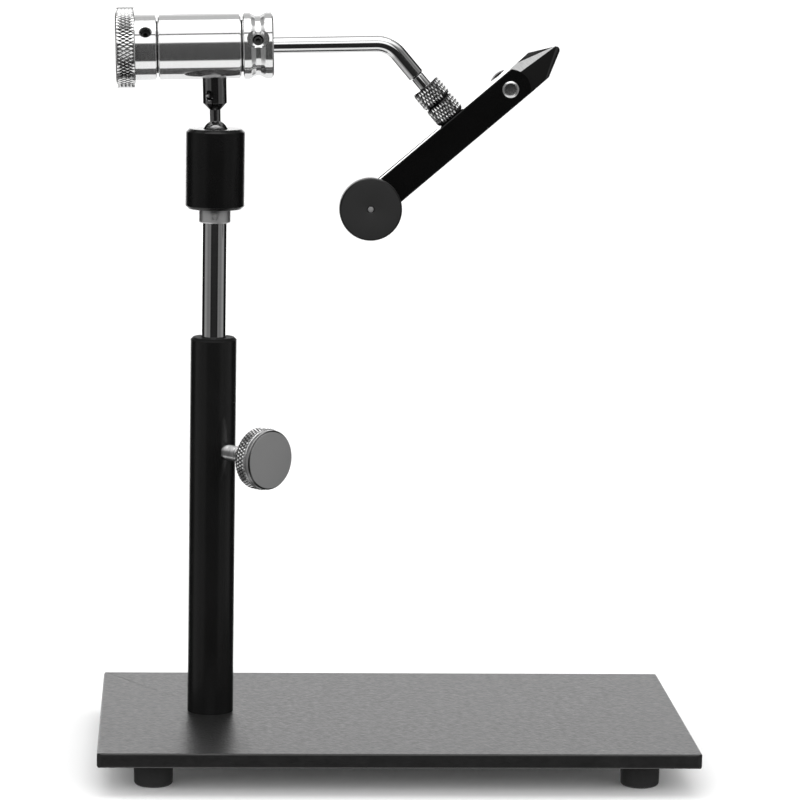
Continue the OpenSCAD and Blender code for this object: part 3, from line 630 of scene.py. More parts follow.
class Finish(Shading):
    """A material with one shader, built from nodes on object coordinates."""

    def __init__(self, name, **constants):
        self.material = bpy.data.materials.new(name)
        self.material.use_nodes = True
        super().__init__(self.material.node_tree)
        self.shader = next(n for n in self.tree.nodes if n.type == "BSDF_PRINCIPLED")
        for key, value in constants.items():
            self.shader.inputs[key.replace("_", " ")].default_value = value

    def put(self, key, wire):
        """Feeds one input of the shader."""
        self.tree.links.new(wire.socket, self.shader.inputs[key])

    def here(self, place=None):
        """Object coordinates, in a place's own axes when one is given."""
        spot = self.add("ShaderNodeTexCoord", output="Object")
        if place is None:
            return spot
        back = place.inverted()
        return self.add("ShaderNodeMapping", {
            "Vector": spot, "Location": back.to_translation(), "Rotation": back.to_euler()})

    def noise(self, spot, scale, detail=2.0, rough=0.5):
        """Noise from 0 to 1."""
        return self.add("ShaderNodeTexNoise", {
            "Vector": spot, "Scale": scale, "Detail": detail, "Roughness": rough}, "Fac")

    def cells(self, spot, scale, smooth):
        """Rounded bumps and hollows, one to a cell."""
        return self.add("ShaderNodeTexVoronoi", {
            "Vector": spot, "Scale": scale, "Smoothness": smooth}, "Distance", feature="SMOOTH_F1")

    def stretched(self, spot, x, y, z):
        """Coordinates scaled along each axis."""
        return self.add("ShaderNodeMapping", {"Vector": spot, "Scale": (x, y, z)})

    def around(self, place):
        """Distance from a place's axis."""
        flat = self.stretched(self.here(place), 1, 1, 0)
        return self.add("ShaderNodeVectorMath", {0: flat}, "Value", operation="LENGTH")

    def colour(self, base, low, high, wire):
        """A colour between two multiples of a base colour."""
        first, last = [[min(1, c * factor) for c in base] for factor in (low, high)]
        self.put("Base Color", self.add(
            "ShaderNodeMix", {0: wire, 6: (*first, 1), 7: (*last, 1)}, 2, data_type="RGBA"))

    def rough(self, wire, low, high):
        """Roughness between two values."""
        self.put("Roughness", wire * (high - low) + low)

    def bump(self, wire, distance, strength=1.0):
        """Bump whose height is in metres."""
        self.put("Normal", self.add("ShaderNodeBump", {
            "Strength": strength, "Distance": distance, "Height": wire}, "Normal"))

    def handled(self, rough):
        """Slight handling marks; returned as a cloud from 0 to 1."""
        cloud = self.noise(self.here(), 140, 4.0, 0.65)
        self.rough(cloud, rough * 0.7, rough * 1.5)
        self.bump(cloud, 0.00001, 0.3)
        return cloud


FINISHES = {}


def hammered_powder(tints):
    """Black powder coat with a fine hammered grain."""
    finish = Finish("hammered_powder")
    spot = finish.here()
    swell = finish.noise(spot, 420, 3.0, 0.6)
    grain = finish.cells(spot, 900, 0.7) * 0.6 + swell * 0.5 + finish.noise(spot, 1800) * 0.12
    finish.colour(tints.powder, 0.7, 1.5, swell)
    finish.rough(swell, 0.3, 0.52)
    finish.bump(grain, 0.00022, 0.5)
    return finish


def satin_black(name, base, rough, grain, gloss=0.5):
    """Smooth black coat with a faint orange peel."""
    finish = Finish(name, Specular_IOR_Level=gloss)
    spot = finish.here()
    cloud = finish.noise(spot, 60, 3.0, 0.6)
    finish.colour(base, 0.8, 1.3, cloud)
    finish.rough(cloud, rough - 0.05, rough + 0.07)
    finish.bump(finish.noise(spot, grain), 0.00002, 0.35)
    return finish


def turned_metal(name, base, place, rough, lines, metallic=1.0, depth=0.000003, rim=0):
    """Turned metal: tool lines along the axis, or round the centre of a face with a ring of painted shade at its
    rim.
    """
    finish = Finish(name, Metallic=metallic)
    if rim:
        radius = finish.around(place)
        along = finish.add("ShaderNodeCombineXYZ", {"X": radius})
    else:
        along = finish.stretched(finish.here(place), 0, 0, 1)
    lathe = finish.noise(along, lines, 2.0, 0.7)
    mottle_and_rim_shade = lathe * 0.6 + finish.noise(finish.here(), 90, 3.0, 0.6) * 0.4
    finish.rough(mottle_and_rim_shade, rough * 0.75, rough * 1.35)
    # Painted shade: with a rim, a ring just inside it is darkened to near black, standing in for the shade on the
    # bevel
    if rim:
        start = (rim - RIM_WIDTH) * MM
        ring = finish.smooth(radius, start, start + 0.1 * MM) - finish.smooth(
            radius, (rim - 0.08) * MM, (rim - 0.03) * MM)
        mottle_and_rim_shade = (mottle_and_rim_shade * 0.15 + 0.85) * (1 - ring.clamp())
    finish.colour(base, 0.15 if rim else 0.9, 1.06, mottle_and_rim_shade)
    finish.bump(lathe, depth)
    return finish


def plain_metal(name, base, rough):
    """Plated metal with slight handling marks."""
    finish = Finish(name, Metallic=1.0)
    finish.colour(base, 0.88, 1.06, finish.handled(rough))
    return finish


def knurled_metal(name, base, place, node, kind, rough):
    """Bright knurling with painted shade in the grooves, darker towards the roots of the diamonds."""
    finish = Finish(name, Metallic=1.0)
    crest = reach(node, place)[0]
    depth = getattr(bpy.context.scene.vise_turning, kind)[2]
    # Painted shade: the colour falls to near black towards the roots of the knurl and in the gaps between knurled
    # drums
    lift = finish.smooth(finish.around(place), (crest - depth) * MM, (crest - depth * 0.4) * MM)
    finish.colour(base, 0.06, 1, lift)
    finish.handled(rough)
    return finish


def ground_steel_highlight(name, base):
    """Bright steel with short grinding lines across the jaws; the lines are texture, the bright colour is a
    painted highlight on the nose facet.
    """
    finish = Finish(name, Metallic=1.0)
    lines = finish.noise(finish.stretched(finish.here(JAWS), 1.0, 0.2, 0.2), 1600, 3.0, 0.7)
    finish.colour(base, 0.55, 1.1, lines)
    finish.rough(lines, 0.24, 0.4)
    finish.bump(lines, 0.000006, 0.6)
    return finish


def moulded_rubber(tints):
    """Matt moulded rubber."""
    finish = Finish("foot_rubber")
    skin = finish.noise(finish.here(), 700, 3.0, 0.6)
    finish.colour(tints.rubber, 0.7, 1.5, skin)
    finish.rough(skin, 0.62, 0.85)
    finish.bump(skin, 0.00006, 0.5)
    return finish


def make_finishes():
    """Every finish of the vise, by name."""
    tints = bpy.context.scene.vise_finishes
    disc_shade_rim = reach("closing_knob", CLOSER)[0]
    thumb_shade_rim = reach("thumbscrew_knob", THUMB)[0] - THUMB_STEP
    made = {
        "powder": hammered_powder(tints),
        "column": satin_black("column_satin", tints.satin, 0.24, 500, 0.4),
        "column_end": satin_black("column_end", tints.satin, 0.6, 500, 0.1),
        "nut": satin_black("nut_oxide", tints.oxide, 0.26, 700, 0.3),
        "jaw": satin_black("jaw_oxide", tints.oxide, 0.14, 500, 0.3),
        "matt": satin_black("matt_oxide", tints.oxide, 0.4, 500, 0.1),
        "screw_black": satin_black("screw_oxide", tints.oxide, 0.3, 900),
        "nylon": satin_black("washer_nylon", tints.rubber, 0.55, 900),
        "rubber": moulded_rubber(tints),
        "barrel": turned_metal("barrel_polish", tints.aluminium, ROTARY, 0.085, 1500, 0.94),
        "stem": turned_metal("stem_chrome", tints.chrome, POST, 0.08, 900, depth=0.000001),
        "socket": turned_metal("socket_steel", tints.steel, POST, 0.38, 2200),
        "disc": turned_metal("disc_anodised", tints.anodised, CLOSER, 0.42, 2600, 0.2, rim=disc_shade_rim),
        "thumb": turned_metal("thumb_face", tints.brushed, THUMB, 0.34, 3200, rim=thumb_shade_rim),
        "grip": knurled_metal("grip_plate", tints.chrome, LEG, "jaw_collar", "grip", 0.16),
        "wheel": knurled_metal("wheel_knurl", tints.aluminium, ROTARY, "rotary_knob", "wheel", 0.12),
        "thumb_knurl": knurled_metal(
            "thumb_knurl", tints.chrome, THUMB, "thumbscrew_knob", "thumb", 0.12),
        # Painted highlight: bright steel on the jaws' nose facet in place of their black oxide
        "ground": ground_steel_highlight("jaw_ground", tints.brushed),
        "arm": plain_metal("arm_chrome", tints.chrome, 0.07),
        "thread": plain_metal("thread_plate", tints.chrome, 0.2),
        "zinc": plain_metal("zinc_plate", tints.steel, 0.3),
        "ball": plain_metal("ball_polish", tints.dark_steel, 0.12),
        "bronze": plain_metal("bearing_bronze", tints.bronze, 0.35),
        "bright": plain_metal("bright_steel", tints.steel, 0.18),
    }
    FINISHES.update((key, finish.material) for key, finish in made.items())


def coat(piece, finish):
    """Gives the whole piece one finish."""
    piece.data.materials.clear()
    piece.data.materials.append(FINISHES[finish])
    return piece


def dress(piece, node, finish=None):
    """Finishes a piece, rides it on its node's body and lets it stand for the node."""
    if finish:
        coat(piece, finish)
    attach(piece, BODY_OF[node])
    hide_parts(node)
    return piece


def joined(name, pieces):
    """Several pieces as one mesh, each part with its own finish."""
    materials = []
    bm = bmesh.new()
    for piece in pieces:
        start = len(bm.faces)
        used = list(piece.data.materials)
        bm.from_mesh(piece.data)
        bm.faces.ensure_lookup_table()
        for face in bm.faces[start:]:
            material = used[face.material_index]
            if material not in materials:
                materials.append(material)
            face.material_index = materials.index(material)
    whole = mesh_object(name, bm)
    for material in materials:
        whole.data.materials.append(material)
    for piece in pieces:
        bpy.data.objects.remove(piece)
    return whole


def copy_dressed(*rows):
    """Copies of CAD nodes: node, finish and edge."""
    for node, finish, edge in rows:
        dress(copied(node, edge), node, finish)


def spun(node, finish, corners, place, edge=None, sides=None, cutters=None):
    """A node's piece on the lathe, drilled by the cutters when there are any."""
    piece = turned(node + PIECE, corners, place, edge, sides)
    if cutters:
        drill(piece, cutters)
        turned_normals(piece, place)
    return dress(piece, node, finish)


def knurled_piece(node, place, drum, ends, kind, finishes, flat=0.1):
    """A turned drum and the diamonds between its two ends, as a node's piece."""
    coat(drum, finishes[0])
    diamonds = knurled(place, reach(node, place)[0], ends, kind, finishes[1], flat)
    dress(joined(node + PIECE, [drum, diamonds]), node)


# Operators


class ViseOperator:
    """What all the vise's operators share."""

    bl_options = {"REGISTER", "UNDO"}

    def execute(self, context):
        self.build(context.scene.vise_turning)
        return {"FINISHED"}


class VISE_OT_finishes(ViseOperator, bpy.types.Operator):
    """Makes the finishes"""

    bl_idname = "vise.finishes"
    bl_label = "Finishes"

    def build(self, sizes):
        make_finishes()


class VISE_OT_base(ViseOperator, bpy.types.Operator):
    """Base plate, feet and their screws"""

    bl_idname = "vise.base"
    bl_label = "Base"

    def build(self, sizes):
        copy_dressed(
            ("base_plate", "powder", 0.4), ("foot_screws", "zinc", 0),
            ("column_bolt", "zinc", sizes.edge), ("column_washer", "zinc", 0))
        for end in ("front", "rear"):
            for side in ("left", "right"):
                make_foot("foot_%s_%s" % (end, side))


def make_foot(node):
    """A moulded foot with a rounded rim and a recess for its screw."""
    low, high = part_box(node)
    place = Matrix.Translation(((low.x + high.x) / 2, (low.y + high.y) / 2, 0))
    wide, floor, top = reach(node, place)
    hole = bore_of(node, place)
    recess, ledge, lip = 4.0, 6.0, 0.6
    taper, rim = 0.25, 1.5
    turns = [radians(15 * k) for k in range(7)]
    rim_arc = [(wide - taper - rim + rim * sin(a), rim - rim * cos(a)) for a in turns]
    spun(node, "rubber", [
        (hole, top), (hole, ledge), (recess, ledge), (recess, floor + lip), (recess + lip, floor),
        *rim_arc, (wide, top)], place, 0.15)


class VISE_OT_column(ViseOperator, bpy.types.Operator):
    """Column, stem, ball socket and clamp nut"""

    bl_idname = "vise.column"
    bl_label = "Column"

    def build(self, sizes):
        copy_dressed(("socket_pin", "socket", 0.12), ("ball_seat", "bronze", 0.1))
        stem_r, foot, top = reach("stem", POST)
        spun("stem", "stem", [(0, foot), (stem_r, foot), (stem_r, top), (0, top)], POST, 0.4)
        make_column(stem_r)
        make_socket(stem_r)
        make_clamp_nut()


def make_column(stem_r):
    """The column with its stem bore, bolt hole and thumbscrew hole, and a matt upper end."""
    r, low, top = reach("column", POST)
    bolt, bolt_end = bore_of("column", POST), 9.6
    bore, bore_end = stem_r + RUN_GAP, 12
    bevel, mouth = 1, 0.4
    thumb = reach("thumbscrew_stud", THUMB)[0] + RUN_GAP
    column = spun("column", "column", [
        (0, bolt_end), (bolt, bolt_end), (bolt, low), (r, low), (r, top - bevel), (r - bevel, top),
        (bore + mouth, top), (bore, top - mouth), (bore, bore_end), (0, bore_end)], POST, 0.16, 192,
        [rod_cutter(THUMB, thumb, 2, 2 * r, 96)])
    column.data.materials.append(FINISHES["column_end"])
    for face in column.data.polygons:
        face.material_index = 1 if face.normal.z > 0.7 else 0


def make_socket(stem_r):
    """The ball socket: a bright collar, and the threaded cup inside the clamp nut."""
    wide, low, top = reach("ball_socket", POST)
    cup, cup_floor = reach("ball_seat", POST)[:2]
    cup += RUN_GAP
    cup_floor -= RUN_GAP
    collar, shoulder, bevel = 6.15, low + 9, 0.4
    hole, hole_end = stem_r + FIT_GAP, low + 15.1
    pin_hole, pin_half = 1.02, 8
    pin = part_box("socket_pin")
    pin_place = across(POST, ((pin[0].z + pin[1].z) / 2 - POST_FOOT.z) / MM, -pi / 2)
    spun("ball_socket", "socket", [
        (hole, low), (collar - bevel, low), (collar, low + bevel), (collar, shoulder),
        (wide, shoulder), (wide, top - bevel), (wide - bevel, top), (cup, top), (cup, cup_floor),
        (0, cup_floor), (0, hole_end), (hole, hole_end)], POST, 0.1, None,
        [rod_cutter(pin_place, pin_hole, -pin_half, pin_half)])


def make_clamp_nut():
    """The clamp nut: bevelled ends, and a lip that holds the ball."""
    r, low, top = reach("clamp_nut", POST)
    thread = reach("ball_socket", POST)[0] + RUN_GAP
    centre = (BALL.z - POST_FOOT.z) / MM
    ball, bevel = 5.05, 1.2
    lip = ball_arc(ball, centre, 97, 108.5, 10)
    cup, cup_top, cup_floor = 7, centre - 0.6, centre - 3
    spun("clamp_nut", "nut", [
        *drum_profile(thread, r, low, top, bevel)[:-1], *reversed(lip), (cup, cup_top),
        (cup, cup_floor), (thread, cup_floor)], POST, 0.2, 192)


class VISE_OT_thumbscrew(ViseOperator, bpy.types.Operator):
    """Knurled thumbscrew and its threaded stud"""

    bl_idname = "vise.thumbscrew"
    bl_label = "Thumbscrew"

    def build(self, sizes):
        r, low, high = reach("thumbscrew_stud", THUMB)
        core = r - sizes.stud_thread
        rod = turned("rod", [
            (0, low), (core - 0.3, low), (core, low + 0.6), (core, high), (0, high)], THUMB)
        coat(rod, "thread")
        ridge = wound("ridge", THUMB, core, (low + 0.8, high - 0.4), sizes.stud_pitch,
                      sizes.stud_thread * 0.98, 4, "thread")
        dress(joined("thumbscrew_stud" + PIECE, [rod, ridge]), "thumbscrew_stud")
        self.make_knob(sizes, high)

    def make_knob(self, sizes, stud_end):
        r, low, high = reach("thumbscrew_knob", THUMB)
        band = r - THUMB_STEP
        core = r - sizes.thumb[2]
        bore, knurl_end = 3.225, low + 5.7
        bevel, undercut = 0.5, 0.35
        drum = turned("drum", [
            (bore, low), (core - bevel, low), (core, low + bevel), (core, knurl_end - undercut),
            (core - undercut, knurl_end), (band, knurl_end), (band, high - RIM_WIDTH),
            (band - RIM_WIDTH, high), (0, high), (0, stud_end), (bore, stud_end)], THUMB, 0.12, 192)
        knurled_piece("thumbscrew_knob", THUMB, drum, (low + 0.2, knurl_end - 0.15),
                      "thumb", ("thumb", "thumb_knurl"))


class VISE_OT_head(ViseOperator, bpy.types.Operator):
    """Ball stud, housing, rotary knob, front collar, crank arm and grips"""

    bl_idname = "vise.head"
    bl_label = "Head"

    def build(self, sizes):
        copy_dressed(
            ("rear_bushing", "bronze", 0.1), ("front_bushing", "bronze", 0.1),
            ("rear_set_screw", "screw_black", 0.08), ("rear_thrust_washer", "nylon", 0),
            ("front_thrust_washer", "nylon", 0), ("front_set_screw", "screw_black", 0.08),
            ("jaw_collar_screw", "screw_black", 0.08))
        make_ball_stud()
        make_housing()
        make_rotary_knob(sizes)
        make_front_collar()
        make_arm()
        make_grips(sizes)


def make_ball_stud():
    """Ball, neck, cone and stud with a cross hole for a tommy bar."""
    low, top = reach("ball_stud", STUD)[1:]
    ball, neck, neck_end = -low, 2.1, 8.9
    meet = degrees(pi - asin(neck / ball))
    body_start, body_end = 11.5, top - TIP_LENGTH
    bar, mouth, hole_height, hole_turn = 1.7, 2.0, 14.6, 29
    hole, far_side = (across(STUD, hole_height, radians(a - hole_turn)) for a in (-90, 90))
    mouths = [mouth_cutter(place, bar - 0.04, mouth, STUD_BODY - 0.08) for place in (hole, far_side)]
    spun("ball_stud", "ball", [
        *ball_arc(ball, 0, 0, meet, 40), (neck, neck_end), (STUD_BODY, body_start),
        (STUD_BODY, body_end), (STUD_TIP, body_end), (STUD_TIP, top), (0, top)], STUD, 0.2, 96,
        [rod_cutter(hole, bar, -10, 10), *mouths])


def make_housing():
    """The housing with its bushing seats and the stud's socket."""
    r, low, high = reach("rotary_housing", ROTARY)
    seat, seat_depth, bore = reach("front_bushing", ROTARY)[0] + FIT_GAP, 8, 4
    stud_start, stud_end = 10, reach("ball_stud", STUD)[2]
    spun("rotary_housing", "barrel", [
        *drum_profile(seat, r, low, high, BARREL_BEVEL), (seat, high - seat_depth),
        (bore, high - seat_depth), (bore, low + seat_depth), (seat, low + seat_depth)],
        ROTARY, 0.12, 256, [
            rod_cutter(STUD, STUD_BODY + FIT_GAP, stud_start, stud_end - TIP_LENGTH),
            rod_cutter(STUD, STUD_TIP + FIT_GAP, stud_start, stud_end + 0.1)])


def make_rotary_knob(sizes):
    """The rear knob: a smooth hub with a set screw's hole, and a knurled rim."""
    crest, back, face = reach("rotary_knob", ROTARY)
    hub = reach("rotary_housing", ROTARY)[0]
    bore = bore_of("rotary_knob", ROTARY)
    dish, dish_depth, bevel = 11, 0.8, 0.3
    rim, hole_depth, hole_turn = back + 7.4, 4.1, 30
    core = crest - sizes.wheel[2]
    drum = turned("drum", [
        (bore, back + dish_depth), (dish, back + dish_depth), (dish, back),
        (core - BARREL_BEVEL, back), (core, back + BARREL_BEVEL), (core, rim - bevel),
        (core - bevel, rim), (hub, rim), (hub, face - bevel), (hub - bevel, face), (bore, face)],
        ROTARY, 0.12, 256)
    hole = across(ROTARY, face - hole_depth, radians(90 - hole_turn))
    drill(drum, [rod_cutter(hole, SET_SCREW, 0, 20), mouth_cutter(hole, 2.1, 2.5, hub)])
    turned_normals(drum, ROTARY)
    knurled_piece("rotary_knob", ROTARY, drum, (back + 0.2, rim - 0.1), "wheel",
                  ("barrel", "wheel"))


def make_front_collar():
    """The front collar with its round groove and set-screw hole."""
    r, low, high = reach("front_collar", ROTARY)
    middle, hole_turn = (low + high) / 2, 14.6
    groove, groove_depth = 7.2, 1.35
    drum = drum_profile(bore_of("front_collar", ROTARY), r, low, high, BARREL_BEVEL)
    hole = across(ROTARY, middle, radians(90 - hole_turn))
    funnel = turned("cutter", [
        (0, r - 2.4), (2.1, r - 2.4), (3.5, r - groove_depth), (4.3, r), (5, r + 1), (0, r + 1)],
        hole, 0, 96)
    spun("front_collar", "barrel", [
        *drum[:3], *hollow(r, middle, groove, groove_depth), *drum[3:]], ROTARY, 0.14, 256,
        [rod_cutter(hole, SET_SCREW, 0, 20), funnel])


def make_arm():
    """The crank arm: a bent rod, with a bevelled end and a grooved shank."""
    high = reach("crank_arm", LEG)[2]
    rod_r = bore_of("front_collar", ROTARY) - FIT_GAP
    start = reach("rotary_knob", ROTARY)[1] + 1.2
    bend, full, bevel = 11.15, 16.6, 0.8
    rod = bent_rod_tree().make("rod", {
        "Start": ROTARY @ Vector((0, 0, start * MM)), "Corner": CRANK_CORNER,
        "End": LEG @ Vector((0, 0, (full - bevel) * MM)), "Bend radius": bend * MM,
        "Rod radius": rod_r * MM}, "arm", Matrix())
    for face in rod.data.polygons:
        face.use_smooth = True
    rod.data.set_sharp_from_angle(angle=SHARP)
    neck = bore_of("jaw_collar", LEG) - RUN_GAP
    collar_low, collar_high = reach("jaw_collar", LEG)[1:]
    groove, half, deep = (collar_low + collar_high) / 2, 0.9, 0.5
    shank = turned("shank", [
        (0, full - 1.2), (rod_r - 0.05, full - 1.2), (rod_r - 0.02, full - bevel),
        (rod_r - bevel, full), (neck, full), (neck, groove - half), (neck - deep, groove - half),
        (neck - deep, groove + half), (neck, groove + half), (neck, high), (0, high)], LEG, 0.1)
    coat(shank, "arm")
    dress(joined("crank_arm" + PIECE, [rod, shank]), "crank_arm")


def make_grips(sizes):
    """The lock nut and the jaw collar: small knurled drums with bevelled ends."""
    for node in ("jaw_lock_nut", "jaw_collar"):
        crest, low, high = reach(node, LEG)
        core = crest - sizes.grip[2]
        drum = turned("drum", drum_profile(bore_of(node, LEG), core, low, high, 0.45), LEG, 0.1)
        if node == "jaw_collar":
            hole = across(LEG, (low + high) / 2, 0)
            drill(drum, [rod_cutter(hole, 1.52, 0, 9)])
        knurled_piece(node, LEG, drum, (low + 0.15, high - 0.15), "grip",
                      ("grip", "grip"), 0.25)


def jaw_cutter(side, facet):
    """A cutter for the ground facet that runs from the jaw's pad to its tip."""
    pad_u, pad, far = 24.5, 7.8, 60
    ridge_start, ridge_end, lean = (28.4, 2.9), (49.3, 1.2), 8.3
    back = JAWS.inverted()
    normal = back.to_3x3() @ facet.normal
    centre = (back @ facet.center) / MM

    def on_plane(through, facing, u, v):
        """The point of a plane at a place in the jaws' side view."""
        y = through.y - (facing.x * (u - through.x) + facing.z * (v - through.z)) / facing.y
        return Vector((u, y, v))

    first = on_plane(centre, normal, *ridge_start)
    last = on_plane(centre, normal, *ridge_end)
    steeper = Matrix.Rotation(radians(lean) * side, 3, last - first) @ normal
    bm = bmesh.new()
    ring = []
    for u, v in ((pad_u, -far), (pad_u, far), (far, far), (far, -far)):
        near = on_plane(first, steeper, u, v)
        ring.append([bm.verts.new(Vector((u, y, v)) * MM) for y in (near.y, far * side)])
    for end in (0, 1):
        bm.faces.new([pair[end] for pair in ring])
    for here, there in zip(ring, ring[1:] + ring[:1]):
        bm.faces.new((here[0], there[0], there[1], here[1]))
    bmesh.ops.recalc_face_normals(bm, faces=bm.faces)
    cutter = mesh_object("cutter", bm, JAWS)
    pad_place = JAWS @ place_from(RIGHT * (pad_u * MM), UP, RIGHT, BACK)
    drill(cutter, [rod_cutter(pad_place, pad, -far, far, 192)])
    return cutter, JAWS.to_3x3() @ steeper


def make_jaw(node, side):
    """A jaw whose ground facet along its nose is coloured bright steel as a painted highlight; its large bevel is
    matt.
    """
    turn = JAWS.inverted().to_3x3()
    jaw = copied(node, 0)
    sloped = [f for f in jaw.data.polygons
              if (turn @ f.normal).y * side > 0.9 and (turn @ f.normal).z > 0.1]
    facet = max(sloped, key=lambda f: f.area)
    dull = facet.normal.copy()
    cutter, ground = jaw_cutter(side, facet)
    drill(jaw, [cutter])
    jaw.data.materials.clear()
    for finish in ("jaw", "ground", "matt"):
        jaw.data.materials.append(FINISHES[finish])
    for face in jaw.data.polygons:
        near = [face.normal.angle(normal) < radians(2) for normal in (ground, dull)]
        face.material_index = near.index(True) + 1 if any(near) else 0
        face.use_smooth = True
    dress(softened(jaw, 0.15), node)


class VISE_OT_jaws(ViseOperator, bpy.types.Operator):
    """Jaws with their screws, pin and spring"""

    bl_idname = "vise.jaws"
    bl_label = "Jaws"

    def build(self, sizes):
        copy_dressed(("adjusting_washer", "zinc", 0.08), ("guide_pin", "bright", 0.08))
        make_jaw("fixed_jaw", -1)
        make_jaw("moving_jaw", 1)
        self.make_adjuster()
        self.make_closer()
        self.make_spring()

    def make_adjuster(self):
        head, low, high = reach("adjusting_screw", ADJUSTER)
        bore = bore_of("adjusting_nut", ADJUSTER)
        rod = bore - RUN_GAP
        socket, socket_end, lip, head_end = head * 0.73, low + 1.3, low - 0.35, low + 2
        spun("adjusting_screw", "bright", [
            (0, socket_end), (socket, socket_end), (socket, lip), (socket + 0.1, lip),
            (head, low + 0.15), (head, head_end - 0.2), (head - 0.2, head_end), (rod, head_end),
            (rod, high - 0.3), (rod - 0.3, high), (0, high)], ADJUSTER, 0.05, 96)
        wide, low, high = reach("adjusting_nut", ADJUSTER)
        spun("adjusting_nut", "matt", drum_profile(bore, wide, low, high, 0.4),
             ADJUSTER, 0.16)

    def make_closer(self):
        r, low, high = reach("closing_screw", CLOSER)
        wide, back, face = reach("closing_knob", CLOSER)
        shoulder = high - (face - back) / 4
        nose, nose_end, tip = 1.7, low + 1.5, 1.1
        spun("closing_screw", "socket", [
            (0, low), (nose / 2, low), (nose, low + 0.75), (nose, nose_end), (r, nose_end),
            (r, shoulder), (tip, shoulder), (tip, high), (0, high)], CLOSER, 0.12, 96)
        bore, seat = r + RUN_GAP, shoulder + RUN_GAP
        dimple, tip_hole = 1.5, tip + RUN_GAP
        spun("closing_knob", "disc", [
            *drum_profile(bore, wide, back, face, 0.5)[:-1], (dimple, face), (dimple, high),
            (tip_hole, high), (tip_hole, seat), (bore, seat)], CLOSER, 0.14, 192)

    def make_spring(self):
        wire, turns, spring_u = 0.3, 4, 32.5
        spot = Matrix.Translation(RIGHT * spring_u * MM)
        place = JAWS @ spot @ Matrix.Rotation(-pi / 2, 4, "X")
        r, low, high = reach("jaw_spring", place)
        ends = (low + wire, high - wire)
        spring = wound("jaw_spring" + PIECE, place, r - wire, ends,
                       (high - low - 2 * wire) / turns, wire, 16, "zinc")
        dress(spring, "jaw_spring")


class VISE_OT_stage(ViseOperator, bpy.types.Operator):
    """Floor, light and camera"""

    bl_idname = "vise.stage"
    bl_label = "Stage"

    def build(self, sizes):
        studio = bpy.context.scene.vise_studio
        make_floor()
        make_world(studio)
        make_lamp()
        make_camera(studio)


def make_floor():
    """A pale floor that keeps the vise's shadow."""
    bm = bmesh.new()
    side, front, back = 6, -0.3, 14
    corners = [(-side, front), (side, front), (side, back), (-side, back)]
    bm.faces.new([bm.verts.new((x, y, 0)) for x, y in corners])
    floor = mesh_object("floor", bm)
    paper = bpy.data.materials.new("floor_paper")
    paper.use_nodes = True
    paper.node_tree.nodes.clear()
    shading = Shading(paper.node_tree)
    matt = shading.add("ShaderNodeBsdfDiffuse", {"Color": (0.95, 0.95, 0.95, 1)})
    glow = shading.add("ShaderNodeEmission", {"Strength": 0.015})
    pale = shading.add("ShaderNodeAddShader", {0: matt, 1: glow})
    rays = shading.add("ShaderNodeLightPath", output="Is Glossy Ray")
    clear = shading.add("ShaderNodeBsdfTransparent")
    shading.add("ShaderNodeOutputMaterial", {0: shading.blend(rays, pale, clear)}, None)
    floor.data.materials.append(paper)
    return floor


# The studio round the vise: angles in degrees and how bright it is there.
# Lifts run from the horizon in front, over the top and down behind; below the horizon they are negative.

SOFT_LIFTS = [(-180, 0.5), (-90, 0.6), (-1, 0.1), (8, 0.1), (15, 2.5), (43, 2.5), (48, 1.1), (97, 1.1),
              (103, 0.65), (138, 0.65), (146, 0.8), (180, 0.8)]
METAL_LIFTS = [(-180, 2.3), (-165, 2.3), (-155, 0.9), (-60, 0.95), (-49, 0.95), (-45, 0.02),
               (15, 0.02), (19, 1.3), (44.5, 1.3), (45, 0), (49, 0), (49.5, 1.3), (94, 1.3),
               (100, 0.5), (137, 0.5), (143, 0.8), (162, 0.8), (166, 2.8)]
METAL_TURNS = [(0, 0.03), (14, 0.03), (22, 0.012), (31, 0.012), (38, 0.2), (60, 0.16), (75, 0.24),
               (92, 0.32), (98, 0.2), (106, 0.008), (146, 0.008), (154, 1.0)]


def make_world(studio):
    """White to the camera; to the vise, a studio with a dark room in front and at the sides."""
    world = bpy.data.worlds.new("studio")
    bpy.context.scene.world = world
    world.use_nodes = True
    world.node_tree.nodes.clear()
    sky = Shading(world.node_tree)
    way = sky.add("ShaderNodeTexCoord", output="Generated")
    x, y, z = (sky.add("ShaderNodeSeparateXYZ", {0: way}, axis) for axis in "XYZ")
    front = 0 - y
    lift = z.angle_from(front) * (1 / FULL_TURN) + 0.5
    swing = abs(x.angle_from(front)) * (1 / pi)
    brightest = max(level for angle, level in SOFT_LIFTS + METAL_LIFTS)
    soft_stops, metal_stops = ([((angle + 180) / 360, level / brightest) for angle, level in stops]
                               for stops in (SOFT_LIFTS, METAL_LIFTS))
    ahead = sky.ramp(lift, metal_stops)
    aside = sky.ramp(swing, [(angle / 180, level / brightest) for angle, level in METAL_TURNS])
    level = 1 - sky.smooth(abs(z), 0.55, 0.85)
    metal = ahead + (aside - ahead) * sky.smooth(abs(x), 0.25, 0.45) * level
    glow = [sky.add("ShaderNodeBackground", {"Color": colour, "Strength": brightest * studio.sky})
            for colour in (sky.ramp(lift, soft_stops), metal)]
    white = sky.add("ShaderNodeBackground")
    glossy = sky.add("ShaderNodeLightPath", output="Is Glossy Ray")
    seen = sky.add("ShaderNodeLightPath", output="Is Camera Ray")
    studio_light = sky.blend(glossy, *glow)
    sky.add("ShaderNodeOutputWorld", {0: sky.blend(seen, studio_light, white)}, None)


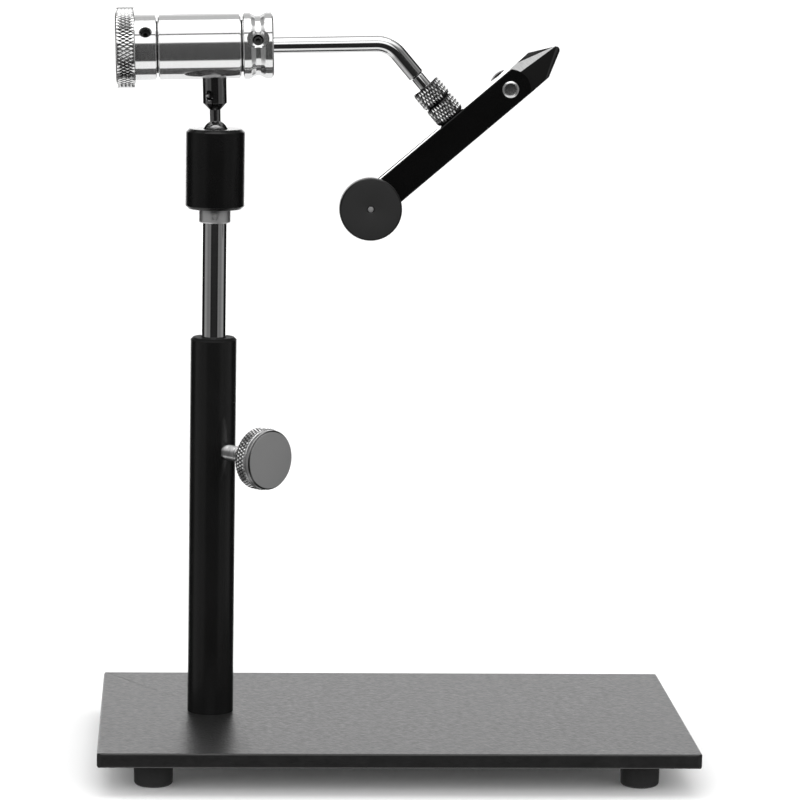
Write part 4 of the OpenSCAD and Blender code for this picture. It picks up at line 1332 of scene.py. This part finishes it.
def make_lamp():
    """One broad soft lamp overhead."""
    lamp = bpy.data.lights.new("softbox", "AREA")
    lamp.shape = "RECTANGLE"
    lamp.size = 1.4
    lamp.size_y = 1.0
    lamp.energy = 5
    light = bpy.data.objects.new("softbox", lamp)
    light.location = (-0.1, -0.1, 1.5)
    bpy.context.scene.collection.objects.link(light)


def make_camera(studio):
    """The camera at the photograph's place."""
    yaw, pitch, roll = (radians(a) for a in (studio.yaw, studio.pitch, studio.roll))
    forward = Vector((sin(yaw) * cos(pitch), cos(yaw) * cos(pitch), -sin(pitch)))
    level = Vector((cos(yaw), -sin(yaw), 0))
    steep = level.cross(forward)
    right = level * cos(roll) + steep * sin(roll)
    up = steep * cos(roll) - level * sin(roll)
    data = bpy.data.cameras.new("camera")
    data.sensor_width = 36
    data.lens = studio.lens
    data.clip_start = 0.05
    data.clip_end = 20
    camera = bpy.data.objects.new("camera", data)
    camera.matrix_world = place_from(Vector(studio.place) * MM, right, up, -forward)
    bpy.context.scene.collection.objects.link(camera)
    bpy.context.scene.camera = camera
    bpy.context.scene.view_settings.view_transform = "Standard"


class VISE_PT_panel(bpy.types.Panel):
    """Lists the steps in the sidebar"""

    bl_idname = "VISE_PT_panel"
    bl_label = "Vise"
    bl_space_type = "VIEW_3D"
    bl_region_type = "UI"
    bl_category = "Vise"

    def draw(self, context):
        for step in STEPS:
            self.layout.operator(step.bl_idname)


STEPS = (
    VISE_OT_stage, VISE_OT_finishes, VISE_OT_base, VISE_OT_column, VISE_OT_thumbscrew,
    VISE_OT_head, VISE_OT_jaws)
GROUPS = {"vise_turning": ViseTurning, "vise_finishes": ViseFinishes, "vise_studio": ViseStudio}


def register():
    for group in (*GROUPS.values(), *STEPS, VISE_PT_panel):
        bpy.utils.register_class(group)
    for name, group in GROUPS.items():
        setattr(bpy.types.Scene, name, PointerProperty(type=group))


def unregister():
    for name in GROUPS:
        delattr(bpy.types.Scene, name)
    for group in (VISE_PT_panel, *reversed(STEPS), *GROUPS.values()):
        bpy.utils.unregister_class(group)


def main():
    register()
    for step in STEPS:
        family, name = step.bl_idname.split(".")
        getattr(getattr(bpy.ops, family), name)()


if __name__ == "__main__":
    main()
